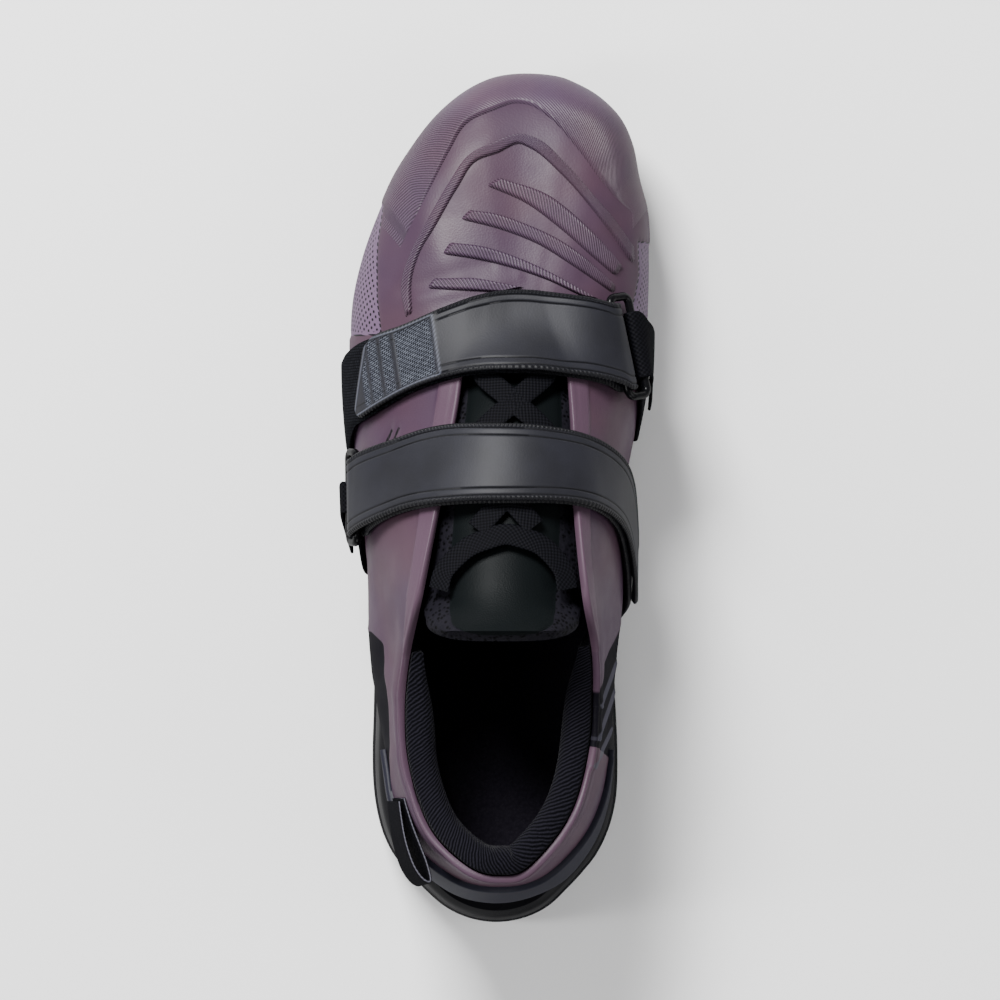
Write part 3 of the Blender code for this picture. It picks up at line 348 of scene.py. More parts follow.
def fit(piece, slot, *nodes):
    """The piece rides on the shoe and stands for the CAD nodes, which it hides. The slot is not used."""
    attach(piece, "root")
    if nodes:
        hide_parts(*nodes)
    return piece


OUTSOLE_SIDE = ((0.0, 1.2), (0.25, 0.2), (0.55, 0.0), (1.0, 0.0))
MIDSOLE_SIDE = (
    # height share, inset in mm
    (0.0, 0.6),
    (0.22, 0.0),
    (0.40, 0.0),
    (0.48, 1.0),
    (0.60, 1.0),
    (0.68, 0.2),
    (0.90, 0.2),
    (1.0, 1.0),
)
HEEL_SIDE = (
    (0.0, 0.6),
    (0.12, 0.0),
    (0.34, 0.4),
    (0.38, 1.5),
    (0.46, 1.5),
    (0.50, 0.6),
    (0.74, 1.4),
    (0.90, 2.6),
    (1.0, 4.6),
)
HEEL_GROOVES = (0.045, 0.080, 0.205, 0.240, 0.275)
FOREFOOT_GROOVES = (0.560, 0.592, 0.624, 0.656, 0.688, 0.720, 0.752)
HEEL_BLOCK_END = 0.385
SOLE_SECTIONS = 150
SIDE_ROWS = 30
DISH_SHARE = 0.15


def layer(name, look, plan, side, low, high, first=0.0, last=1.0, inset=0.0, cup=0.0, cuts=()):
    """A layer of the sole as sections from heel to toe. cuts are cross grooves in its underside."""
    start, extent = plan[0][0], plan[-1][0] - plan[0][0]
    shares = start + extent * (1 - np.cos(np.pi * np.linspace(0, 1, SOLE_SECTIONS))) / 2
    sides = [sign * (GROOVE_WIDTH / 2 + over) / LENGTH for sign in (-1, 1) for over in (0, GROOVE_LIP)]
    edges = [cut + beside for cut in cuts for beside in sides]
    shares = np.unique(np.clip(np.concatenate([shares, edges]), max(first, start), min(last, plan[-1][0])))
    turn = np.arccos(np.clip(1 - 2 * (shares - start) / extent, -1, 1)) / np.pi
    height = np.linspace(0, 1, SIDE_ROWS)
    step = smooth(column(side, 0), column(side, 1), height) * MM + inset
    rims = [
        plan_point(plan, t)[:, None] + plan_inward(plan, t)[:, None] * step[:, None]
        for t in (turn, 2 - turn)
    ]
    lane = np.linspace(0, 1, 25)[1:-1]
    top = rims[0][:, -1:] * (1 - lane[:, None]) + rims[1][:, -1:] * lane[:, None]
    bottom = rims[0][:, :1] * (1 - lane[:, None]) + rims[1][:, :1] * lane[:, None]
    flat = np.concatenate([rims[0], top, rims[1][:, ::-1], bottom[:, ::-1]], 1)
    share = np.concatenate([height, np.ones(lane.size), height[::-1], np.zeros(lane.size)])
    near = np.clip(np.minimum(lane, 1 - lane) / DISH_SHARE, 0, 1)
    dish = np.concatenate([0 * height, cup * near * near * (3 - 2 * near), 0 * height, 0 * lane])
    y = plan_point(plan, turn)[:, 1]
    base, crown = low(y)[:, None], high(y)[:, None]
    z = base + (crown - base) * share - dish
    for cut in cuts:
        inside = np.abs(shares - cut) * LENGTH <= GROOVE_WIDTH / 2
        z[inside] = np.maximum(z[inside], base[inside] + GROOVE_DEPTH)
    points = np.concatenate([flat, z[..., None]], -1)
    return surface(name, points, look, sharp=35, pinched=True)


def own_place(tree):
    return add(tree, "ShaderNodeTexCoord").outputs["Object"]


def field_of(tree, name):
    return add(tree, "ShaderNodeAttribute", attribute_name=name).outputs["Vector"]


def parts_of(tree, name):
    return add(tree, "ShaderNodeSeparateXYZ", {"Vector": field_of(tree, name)}).outputs


def calc(tree, operation, first, second=0.0):
    return add(tree, "ShaderNodeMath", {0: first, 1: second}, operation=operation).outputs["Value"]


def clouds_of(tree, place, size, detail):
    sockets = {"Vector": place, "Scale": 1 / size, "Detail": float(detail)}
    return add(tree, "ShaderNodeTexNoise", sockets).outputs["Fac"]


def cells_of(tree, place, size):
    return add(tree, "ShaderNodeTexVoronoi", {"Vector": place, "Scale": 1 / size}).outputs["Distance"]


def bump_of(tree, height, strength, deep, under=None, sunk=False):
    """Fine relief by a height from 0 to 1, if asked on top of another; sunk turns it inward."""
    sockets = {"Height": height, "Strength": strength, "Distance": deep}
    if under is not None:
        sockets["Normal"] = under.outputs["Normal"]
    return add(tree, "ShaderNodeBump", sockets, invert=sunk)


def mixed(tree, share, first, second):
    return add(tree, "ShaderNodeMixRGB", {"Fac": share, "Color1": first, "Color2": second}).outputs["Color"]


def ramp(tree, value, low, high, to_low=0.0, to_high=1.0, kind="SMOOTHSTEP"):
    made = add(
        tree,
        "ShaderNodeMapRange",
        {"Value": value, "From Min": low, "From Max": high, "To Min": to_low, "To Max": to_high},
        interpolation_type=kind,
    )
    return made.outputs["Result"]


rubber, tree, shader = finish_of(
    "moulded_rubber", {"Base Color": colour("#0F0F12"), "Coat Weight": 0.05, "Coat Roughness": 0.4}
)
spot = own_place(tree)
pebble = cells_of(tree, spot, 0.9 * MM)
worn = clouds_of(tree, spot, 12 * MM, 5)
tree.links.new(ramp(tree, worn, 0.3, 0.7, 0.5, 0.72, "LINEAR"), shader.inputs["Roughness"])
raised = bump_of(tree, pebble, 0.35, 0.15 * MM)
relieve(tree, shader, raised)

glossy, tree, shader = finish_of(
    "glossy_heel_moulding", {"Base Color": colour("#0A0A0D"), "Coat Weight": 0.14}
)
spot = own_place(tree)
worn = clouds_of(tree, spot, 20 * MM, 6)
tree.links.new(ramp(tree, worn, 0.35, 0.7, 0.12, 0.3, "LINEAR"), shader.inputs["Coat Roughness"])

fit(
    layer(
        "outsole_rubber",
        rubber,
        SOLE_PLAN,
        OUTSOLE_SIDE,
        underside,
        lambda y: underside(y) + OUTSOLE,
        cuts=HEEL_GROOVES + FOREFOOT_GROOVES,
    ),
    "outsole_rubber",
    "outsole",
)
fit(
    layer(
        "heel_block_moulding",
        glossy,
        SOLE_PLAN,
        HEEL_SIDE,
        lambda y: underside(y) + OUTSOLE + GAP,
        footbed,
        last=HEEL_BLOCK_END,
    ),
    "heel_plastic",
    "heel_block",
)
fit(
    layer(
        "midsole_wedge",
        rubber,
        SOLE_PLAN,
        MIDSOLE_SIDE,
        lambda y: underside(y) + OUTSOLE + GAP,
        footbed,
        first=HEEL_BLOCK_END + 2 * GAP / LENGTH,
    ),
    "midsole_foam",
    "midsole",
)

# Insole
# A loose foam footbed under a black knitted cover, with a raised rim. Its top is plain.

INSOLE_SIDE = ((0.0, 1.4), (0.3, 0.3), (0.8, 0.0), (1.0, 0.7))
sock, tree, shader = finish_of(
    "insole_knit", {"Roughness": 0.95, "Sheen Weight": 0.04, "Sheen Roughness": 0.5}
)
spot = own_place(tree)
loops = cells_of(tree, spot, 1.1 * MM)
tree.links.new(mixed(tree, loops, colour("#1B191F"), colour("#131117")), shader.inputs["Base Color"])
raised = bump_of(tree, loops, 0.6, 0.3 * MM)
relieve(tree, shader, raised)
fit(
    layer(
        "insole_cover",
        sock,
        UPPER_PLAN,
        INSOLE_SIDE,
        lambda y: footbed(y) + GAP,
        lambda y: footbed(y) + GAP + INSOLE + INSOLE_CUP,
        inset=TUCK + WALL + LINING_FOOT + 3 * GAP,
        cup=INSOLE_CUP,
    ),
    "knit",
    "insole",
)

# Upper
# One shell of coated leather, lasted and cemented to the sole. It has a perforated panel on each side of
# the forefoot, a dark quarter on each side of the heel, an eyestay along the throat and soft creases.

UPPER_ROWS = (
    # turn, bulge, edge_across, edge_along, edge_height, lean, low, high
    (0.00, 0.150, -0.006, 0.0587, 1.000, 97, 0.40, 0.30),
    (0.10, 0.150, -0.133, 0.0740, 0.985, 92, 0.40, 0.30),
    (0.18, 0.150, -0.248, 0.1160, 0.930, 84, 0.40, 0.30),
    (0.27, 0.150, -0.322, 0.1920, 0.865, 80, 0.40, 0.30),
    (0.34, 0.150, -0.335, 0.2520, 0.845, 78, 0.40, 0.32),
    (0.40, 0.150, -0.318, 0.3160, 0.895, 72, 0.40, 0.34),
    (0.455, 0.150, -0.271, 0.3900, 1.050, 60, 0.42, 0.36),
    (0.52, 0.145, -0.205, 0.5000, 0.960, 44, 0.44, 0.38),
    (0.585, 0.140, -0.148, 0.6050, 0.830, 32, 0.46, 0.42),
    (0.64, 0.140, -0.121, 0.6640, 0.755, 24, 0.46, 0.42),
    (0.70, 0.135, -0.087, 0.6800, 0.738, 21, 0.44, 0.44),
    (0.77, 0.135, -0.051, 0.6850, 0.735, 21, 0.40, 0.44),
    (0.84, 0.130, -0.017, 0.6870, 0.735, 22, 0.34, 0.46),
    (0.92, 0.125, 0.017, 0.6875, 0.735, 22, 0.27, 0.46),
    (1.00, 0.120, 0.051, 0.6875, 0.735, 22, 0.22, 0.46),
    (1.08, 0.125, 0.085, 0.6870, 0.735, 22, 0.27, 0.46),
    (1.16, 0.130, 0.119, 0.6850, 0.735, 21, 0.34, 0.44),
    (1.23, 0.135, 0.155, 0.6820, 0.735, 21, 0.40, 0.44),
    (1.30, 0.135, 0.190, 0.6770, 0.738, 22, 0.44, 0.42),
    (1.36, 0.140, 0.220, 0.6640, 0.755, 26, 0.46, 0.42),
    (1.42, 0.140, 0.240, 0.6010, 0.840, 38, 0.44, 0.38),
    (1.485, 0.145, 0.254, 0.5000, 0.965, 52, 0.42, 0.36),
    (1.545, 0.150, 0.288, 0.3900, 1.060, 66, 0.40, 0.34),
    (1.60, 0.150, 0.322, 0.3240, 0.920, 76, 0.40, 0.32),
    (1.66, 0.150, 0.326, 0.2590, 0.850, 80, 0.40, 0.30),
    (1.73, 0.150, 0.307, 0.1950, 0.870, 82, 0.40, 0.30),
    (1.82, 0.150, 0.237, 0.1230, 0.930, 86, 0.40, 0.30),
    (1.90, 0.150, 0.112, 0.0710, 0.985, 93, 0.40, 0.30),
)
LOW_SHARE = 0.2


def row_value(number, turn):
    turns = column(UPPER_ROWS, 0)
    values = column(UPPER_ROWS, number)
    places = [turns[-2] - 2, turns[-1] - 2] + turns + [turns[0] + 2, turns[1] + 2]
    return smooth(places, values[-2:] + values + values[:2], np.asarray(turn, float) % 2)


def bezier(p0, p1, p2, p3, t):
    t = np.asarray(t)[..., None]
    return p0 * (1 - t) ** 3 + 3 * p1 * t * (1 - t) ** 2 + 3 * p2 * t * t * (1 - t) + p3 * t**3


def upper_point(turn, rise):
    """The upper's outer face. rise 0 is its foot on the sole, LOW_SHARE its widest level, 1 its top edge."""
    turn, rise = np.broadcast_arrays(np.asarray(turn, float), np.asarray(rise, float))
    wide = plan_point(UPPER_PLAN, turn)
    inward = plan_inward(UPPER_PLAN, turn)
    bed = footbed(wide[..., 1])
    foot = np.concatenate([wide + inward * TUCK, (bed + GAP)[..., None]], -1)
    level = bed + row_value(1, turn) * COLLAR_HEIGHT
    broad = np.concatenate([wide, level[..., None]], -1)
    edge = np.stack(
        [row_value(2, turn) * BALL_WIDTH, along(row_value(3, turn)), COLLAR_HEIGHT * row_value(4, turn)], -1
    )
    lean = np.radians(row_value(5, turn))
    flat = edge[..., :2] - broad[..., :2]
    flat /= np.linalg.norm(flat, axis=-1, keepdims=True)
    finish = np.concatenate([flat * np.cos(lean)[..., None], np.sin(lean)[..., None]], -1)
    reach = np.linalg.norm(edge - broad, axis=-1)
    up = np.zeros_like(broad)
    up[..., 2] = 1
    low = broad + up * (reach * row_value(6, turn))[..., None]
    high = edge - finish * (reach * row_value(7, turn))[..., None]
    drop = (broad[..., 2] - foot[..., 2])[..., None]
    outward = np.concatenate([-inward, np.zeros_like(inward[..., :1])], -1)
    swell = foot + outward * TUCK * 0.6 + up * drop * 0.15
    first = bezier(foot, swell, broad - up * drop * 0.5, broad, np.clip(rise / LOW_SHARE, 0, 1))
    second = bezier(broad, low, high, edge, np.clip((rise - LOW_SHARE) / (1 - LOW_SHARE), 0, 1))
    return np.where((rise < LOW_SHARE)[..., None], first, second)


def upper_normal(turn, rise):
    """Square to the upper's outer face, pointing out."""
    d = 2e-3
    rise = np.clip(rise, d, 1 - d)
    level = upper_point(np.asarray(turn) + d, rise) - upper_point(np.asarray(turn) - d, rise)
    upward = upper_point(turn, rise + d) - upper_point(turn, rise - d)
    square = np.cross(upward, level)
    return square / np.linalg.norm(square, axis=-1, keepdims=True)


def upper_skin(turn, rise, out):
    """A point at the distance out from the upper's outer face, negative inside."""
    return upper_point(turn, rise) + upper_normal(turn, rise) * np.asarray(out)[..., None]


def line_gap(x, y, line):
    """How far plan points are from a line, and how far along it they lie."""
    best = np.full(x.shape, 1e9)
    place = np.zeros(x.shape)
    run = 0.0
    for (ax, ay), (bx, by) in zip(line, line[1:]):
        dx, dy = bx - ax, by - ay
        length = math.hypot(dx, dy)
        t = np.clip(((x - ax) * dx + (y - ay) * dy) / length**2, 0, 1)
        gap = np.hypot(x - ax - t * dx, y - ay - t * dy)
        place = np.where(gap < best, run + t * length, place)
        best = np.minimum(gap, best)
        run += length
    return best, place


def within(x, y, outline):
    """Distance to an outline in plan, positive inside it."""
    crossings = np.zeros(x.shape, int)
    for (ax, ay), (bx, by) in zip(outline, outline[1:] + outline[:1]):
        spans = (ay > y) != (by > y)
        crossings += spans & (x < ax + (bx - ax) * (y - ay) / (by - ay if by != ay else 1e-9))
    gap, _ = line_gap(x, y, outline + outline[:1])
    return np.where(crossings % 2 == 1, gap, -gap)


# Panels, in mm of plan
OUTER_VENT = (
    (-41.4, 212.0),
    (-43.4, 197.6),
    (-43.7, 189.6),
    (-43.4, 178.0),
    (-42.0, 165.0),
    (-60.0, 165.0),
    (-60.0, 212.0),
)
INNER_VENT = ((49.0, 198.0), (49.3, 186.4), (46.6, 172.0), (46.0, 160.0), (60, 160.0), (60, 198.0))
DARK_QUARTER = (
    (45.0, 66.0),
    (38.4, 54.4),
    (36.4, 49.6),
    (34.6, 40.8),
    (32.0, 29.6),
    (31.0, 23.2),
    (38.2, 16.8),
    (42.2, 10.4),
    (60.0, 14.0),
    (60.0, 66.0),
)
OUTER_QUARTER = (
    (-45.4, 60.8),
    (-41.4, 56.8),
    (-39.8, 40.8),
    (-39.4, 24.8),
    (-38.6, 8.8),
    (-37.0, -5.6),
    (-60.0, -5.6),
    (-60.0, 60.8),
)
QUARTER_RIBS = (
    # turn and rise of both ends
    ((1.640, 0.30), (1.662, 0.88)),
    ((1.665, 0.28), (1.700, 0.90)),
    ((1.700, 0.28), (1.735, 0.90)),
)
SLOTS = (((-41.8, 124.4), (-38.0, 132.4)), ((-39.4, 124.6), (-35.6, 132.2)))
PALE_SEAMS = (((-37.8, -5.2), (-33.4, -7.6), (-29.4, -9.2)),)
# Soft creases: each from one point to another, half width, depth (a ridge is negative), all in mm
CREASES = (
    (-34, 181, -4, 190, 3.0, 0.35),
    (-30, 177, 6, 185, 2.4, -0.3),
    (30, 185, 46, 176, 3.0, 0.4),
    (-40, 186, -33, 214, 3.6, 0.5),
    (-46, 150, -34, 178, 3.5, 0.35),
    (44, 196, 36, 222, 4.0, 0.4),
    (-24, 226, 6, 248, 5.0, 0.35),
    (-44, 84, -40, 52, 4.0, 0.7),
    (-46, 60, -38, 40, 3.0, -0.45),
    (-42, 40, -38, 22, 3.4, 0.6),
    (-36, 96, -42, 74, 3.0, 0.5),
    (34, 90, 40, 66, 3.4, 0.6),
    (38, 84, 36, 60, 2.6, -0.4),
    (-30, 6, -18, -14, 3.6, 0.5),
    (22, -6, 32, 12, 3.4, 0.5),
    (-38, 118, -40, 134, 3.0, 0.6),
    (38, 118, 42, 136, 3.0, 0.5),
)
EYESTAY_WIDTH = 8.0
UPPER_TURNS = 480
UPPER_RISES = 100
INNER_RISES = 24


def soft_step(value, wide=0.5):
    t = np.clip(value / wide * 0.5 + 0.5, 0, 1)
    return t * t * (3 - 2 * t)


def throat_share(turn):
    """1 along the throat, falling to 0 where the collar begins."""
    side = np.where(turn <= 1, turn, 2 - turn)
    return np.clip((side - 0.40) / 0.05, 0, 1)


def upper_relief(turn, rise):
    """How far the worn leather stands off its smooth form in mm, with each point's place in the panels."""
    spots = upper_point(turn, rise) / MM
    x, y = spots[..., 0], spots[..., 1]
    relief = np.zeros(x.shape)
    for ax, ay, bx, by, wide, deep in CREASES:
        gap, place = line_gap(x, y, ((ax, ay), (bx, by)))
        relief -= deep * np.exp(-((gap / wide) ** 2))
    to_edge = np.linalg.norm(spots - upper_point(turn, np.ones_like(rise)) / MM, axis=-1)
    eyestay = EYESTAY_WIDTH * throat_share(turn) - to_edge
    vent = np.maximum(within(x, y, OUTER_VENT), within(x, y, INNER_VENT))
    dark = np.max([within(x, y, outline) for outline in (DARK_QUARTER, OUTER_QUARTER)], axis=0)
    rib_lines = [[tuple(upper_point(*end)[:2] / MM) for end in rib] for rib in QUARTER_RIBS]
    rib, slot, pale = (
        reach - np.min([line_gap(x, y, line)[0] for line in lines], axis=0)
        for reach, lines in ((0.9, rib_lines), (0.55, SLOTS), (0.5, PALE_SEAMS))
    )
    relief += 0.5 * soft_step(rib, 0.8) - 0.6 * soft_step(slot, 0.6)
    relief -= 0.3 * np.exp(-((vent / 0.4) ** 2))
    relief += 0.55 * soft_step(eyestay) - 0.45 * soft_step(vent) - 0.4 * soft_step(dark)
    collar = 1 - throat_share(turn)
    relief += collar * 0.9 * np.exp(-(((rise - 0.90) / 0.07) ** 2))
    relief -= 0.25 * np.exp(-(((to_edge - 2.2) / 0.35) ** 2))
    return relief, np.stack([vent, dark, eyestay], -1), np.stack([rib, slot, pale], -1), to_edge


turns = np.linspace(0, 2, UPPER_TURNS, endpoint=False)[:, None]
rises = np.linspace(0, 1, UPPER_RISES)[None, :] ** 0.92
turns, rises = np.broadcast_arrays(turns, rises)
relief, panels, trims, to_edge = upper_relief(turns, rises)
outer_face = upper_skin(turns, rises, relief * MM)
outward = upper_normal(turns, rises)
rim_way = outer_face[:, -1] - outer_face[:, -2]
rim_way /= np.linalg.norm(rim_way, axis=-1, keepdims=True)
rim_middle = outer_face[:, -1] - outward[:, -1] * WALL / 2
rim = [
    rim_middle + outward[:, -1] * WALL / 2 * math.cos(a) + rim_way * 0.6 * MM * math.sin(a)
    for a in np.radians((45, 90, 135))
]
inner_turns, inner_rises = np.broadcast_arrays(turns[:, :1], np.linspace(1, 0, INNER_RISES))
inner_face = upper_skin(inner_turns, inner_rises, np.full(inner_rises.shape, -WALL))
inner_face[:, -1, 2] = outer_face[:, 0, 2]
shell = np.concatenate([outer_face, np.stack(rim, 1), inner_face], 1)


def closed_field(values, size):
    """A field for the outer face, carried over the rest of the section and round both joins."""
    rest = np.repeat(values[:, -1:], size - values.shape[1] + 1, axis=1)
    whole = np.concatenate([values, rest], 1)
    return np.concatenate([whole, whole[:1]], 0)


def run_of(points):
    """Lengths along a line of points, from 0 at its first."""
    return np.concatenate([[0], np.cumsum(np.linalg.norm(np.diff(points, axis=0), axis=-1))])


round_run = run_of(upper_point(np.linspace(0, 2, UPPER_TURNS + 1), LOW_SHARE))
up_run = np.linalg.norm(np.diff(outer_face, axis=1), axis=-1)
up_run = np.concatenate([np.zeros((UPPER_TURNS, 1)), np.cumsum(up_run, axis=1)], 1)
skin = np.stack(np.broadcast_arrays(round_run[:-1, None], up_run, to_edge * MM), -1)
skin = closed_field(skin, shell.shape[1])
skin[-1, :, 0] = round_run[-1]


def leather_bump(tree, spot, grain=0.7 * MM, strength=0.25):
    """Fine pores and the pull of the hide under the coating, as one height."""
    pores = cells_of(tree, spot, grain)
    pull = clouds_of(tree, spot, 6 * MM, 4)
    both = calc(tree, "ADD", pores, pull)
    return bump_of(tree, both, strength, 0.18 * MM)


PURPLE_WARM = "#3E2D37"
PURPLE_COOL = "#382A38"

coated, tree, shader = finish_of(
    "coated_leather",
    {"Coat Tint": colour("#F6ECF4")},
)
spot = own_place(tree)
cloud = clouds_of(tree, spot, 50 * MM, 3)
hide = mixed(tree, ramp(tree, cloud, 0.35, 0.65), colour(PURPLE_WARM), colour(PURPLE_COOL))
panel = parts_of(tree, "panels")
run = parts_of(tree, "skin")
PIN_PITCH = 3.2 * MM
across = calc(tree, "MULTIPLY", run["X"], 1 / PIN_PITCH)
upward = calc(tree, "MULTIPLY", run["Y"], 1 / PIN_PITCH)
both = calc(tree, "ADD", across, upward)
less = calc(tree, "SUBTRACT", across, upward)
offs = []
for value in (both, less):
    part = calc(tree, "FRACT", value)
    part = calc(tree, "SUBTRACT", part, 0.5)
    offs.append(calc(tree, "POWER", part, 2.0))
gap = calc(tree, "ADD", offs[0], offs[1])
pin = ramp(tree, gap, 0.075, 0.04)
vent = ramp(tree, panel["X"], 0.9, 1.3)
pin = calc(tree, "MULTIPLY", pin, vent)
hide = mixed(tree, ramp(tree, panel["X"], -0.1, 0.1), hide, colour("#56465A"))
# The eyestay is painted a little lighter than the rest of the hide: a painted highlight along the raised
# band.
hide = mixed(tree, ramp(tree, panel["Z"], -0.1, 0.1), hide, colour("#43333F"))
hide = mixed(tree, ramp(tree, panel["Y"], -0.15, 0.15), hide, colour("#0C0B10"))
hide = mixed(tree, pin, hide, colour("#0B080C"))
trim = parts_of(tree, "trims")
STITCH_PITCH = 2.2 * MM
dash = calc(tree, "MULTIPLY", run["X"], 2 * math.pi / STITCH_PITCH)
dash = calc(tree, "SINE", dash)
dash = ramp(tree, dash, -0.5, -0.1)
seam_gap = calc(tree, "ADD", panel["X"], -0.05)
seam_gap = calc(tree, "ABSOLUTE", seam_gap)
thread = calc(tree, "MULTIPLY", ramp(tree, seam_gap, 0.42, 0.25), dash)
hide = mixed(tree, thread, hide, colour("#08060A"))
hide = mixed(tree, ramp(tree, trim["X"], 0.0, 0.3), hide, colour("#3A3942"))
hide = mixed(tree, ramp(tree, trim["Y"], 0.0, 0.25), hide, colour("#08070A"))
pale = calc(tree, "MULTIPLY", ramp(tree, trim["Z"], 0.0, 0.15), dash)
hide = mixed(tree, pale, hide, colour("#B9B3C2"))
tree.links.new(hide, shader.inputs["Base Color"])
grain = leather_bump(tree, spot, strength=0.14)
holes = bump_of(tree, pin, 1.0, 0.4 * MM, grain, sunk=True)
relieve(tree, shader, holes)
rub = ramp(tree, clouds_of(tree, spot, 15 * MM, 6), 0.3, 0.7, 0.36, 0.48)
tree.links.new(rub, shader.inputs["Coat Roughness"])
tree.links.new(ramp(tree, panel["Y"], -0.15, 0.15, 0.24, 0.07), shader.inputs["Coat Weight"])
fit(
    surface(
        "upper_shell",
        shell,
        coated,
        {
            "skin": skin,
            "panels": closed_field(panels, shell.shape[1]),
            "trims": closed_field(trims, shell.shape[1]),
        },
        wrap=(True, True),
        sharp=60,
    ),
    "coated_leather",
    "upper",
)

# Collar lining
# A foam roll under black knit, sewn inside the collar's edge and thinning towards the foot and both ends.

LINING_PAD = 9.5 * MM
LINING_RISE = 3.0 * MM
LINING_ROWS = (
    # turn, share of the pad
    (1.594, 0.25),
    (1.64, 0.85),
    (1.75, 1.0),
    (2.25, 1.0),
    (2.36, 0.85),
    (2.406, 0.25),
)
LINING_SECTION = (
    # rise on the upper, share of the pad's thickness, share of the roll's height, foot thickness
    (0.40, 0.0, 0.0, 0),
    (0.60, 0.0, 0.0, 0),
    (0.80, 0.0, 0.0, 0),
    (0.92, 0.0, 0.0, 0),
    (1.0, 0.0, 0.25, 0),
    (1.0, 0.16, 0.80, 0),
    (1.0, 0.45, 1.0, 1),
    (1.0, 0.80, 0.55, 1),
    (1.0, 1.0, -0.8, 1),
    (0.84, 0.98, 0.0, 1),
    (0.66, 0.66, 0.0, 1),
    (0.40, 0.0, 0.0, 1),
    (0.40, 0.0, 0.0, 0),
)


def lining_rings(count, size):
    rings = []
    at = np.linspace(0, len(LINING_SECTION) - 1, size, endpoint=False)
    for turn in np.linspace(LINING_ROWS[0][0], LINING_ROWS[-1][0], count):
        share = smooth(column(LINING_ROWS, 0), column(LINING_ROWS, 1), turn)
        ring = []
        for rise, thick, lift, inner in LINING_SECTION:
            square = upper_normal(turn, min(rise, 0.98))
            level = np.array([square[0], square[1], 0])
            level /= np.linalg.norm(level)
            seat = upper_skin(turn, rise, -WALL - 2 * GAP)
            foot = LINING_FOOT * inner
            point = seat - level * (foot + (LINING_PAD * share - foot * share) * thick)
            point[2] += LINING_RISE * lift * share
            ring.append(point)
        rings.append(smooth(np.arange(len(ring)), ring, at, free=True))
    return np.array(rings)


def grid_runs(points):
    """Real lengths along both ways of a grid, for a pattern that keeps its scale."""
    long_run = run_of(points.mean(1))
    loop = np.concatenate([points, points[:, :1]], 1)
    cross = np.cumsum(np.linalg.norm(np.diff(loop, axis=1), axis=-1), axis=1)
    cross = np.concatenate([np.zeros((len(points), 1)), cross], 1)
    return np.stack([np.broadcast_to(long_run[:, None], cross.shape), cross, 0 * cross], -1)


def laid_at(tree, place, degrees, scale=(1.0, 1.0, 1.0)):
    sockets = {"Vector": place, "Rotation": (0.0, 0.0, math.radians(degrees)), "Scale": scale}
    return add(tree, "ShaderNodeMapping", sockets, vector_type="POINT").outputs["Vector"]


def bands_of(tree, place, pitch, wander):
    sockets = {"Vector": place, "Scale": math.pi / 10 / pitch, "Distortion": wander, "Detail": 1.0}
    return add(tree, "ShaderNodeTexWave", sockets, wave_type="BANDS", bands_direction="X").outputs["Fac"]


lining_knit, tree, shader = finish_of(
    "collar_knit", {"Roughness": 0.92, "Sheen Weight": 0.03, "Sheen Roughness": 0.4}
)
run = field_of(tree, "skin")
WALE_PITCH = 1.25 * MM
wale = bands_of(tree, laid_at(tree, run, 35), WALE_PITCH, 2.5)
loops = cells_of(tree, run, 0.9 * MM)
height = calc(tree, "ADD", wale, loops)
tree.links.new(mixed(tree, wale, colour("#060608"), colour("#1B1A20")), shader.inputs["Base Color"])
raised = bump_of(tree, height, 0.7, 0.5 * MM)
relieve(tree, shader, raised)

roll = lining_rings(200, 60)
lining = fit(surface("collar_roll", roll, lining_knit, {"skin": grid_runs(roll)}), "knit", "collar_lining")

# Tongue
# A padded strip that rises from under the vamp to a bound lip: a smooth satin panel down its middle
# between borders of spacer mesh. It is held by the lace.

TONGUE_THICK = 7.0 * MM
TONGUE_FRONT_THICK = 3.0 * MM
TONGUE_WIDTH = 62 * MM
TONGUE_ROWS = (
    # along, across, height, half_width, drop, thickness_share
    (0.735, 0.050, 0.630, 0.55, 0.09, 0.0),
    (0.700, 0.050, 0.682, 0.64, 0.11, 0.0),
    (0.685, 0.050, 0.707, 0.68, 0.12, 0.0),
    (0.655, 0.049, 0.755, 0.74, 0.14, 0.2),
    (0.605, 0.046, 0.858, 0.80, 0.14, 0.4),
    (0.500, 0.026, 0.998, 0.88, 0.15, 0.6),
    (0.420, 0.014, 1.090, 0.90, 0.17, 0.8),
    (0.390, 0.010, 1.130, 0.88, 0.17, 1.0),
    (0.368, 0.008, 1.172, 0.86, 0.12, 1.0),
    (0.355, 0.008, 1.205, 0.78, 0.10, 0.9),
    (0.350, 0.008, 1.222, 0.64, 0.07, 0.45),
)
PANEL_HALF = 0.66


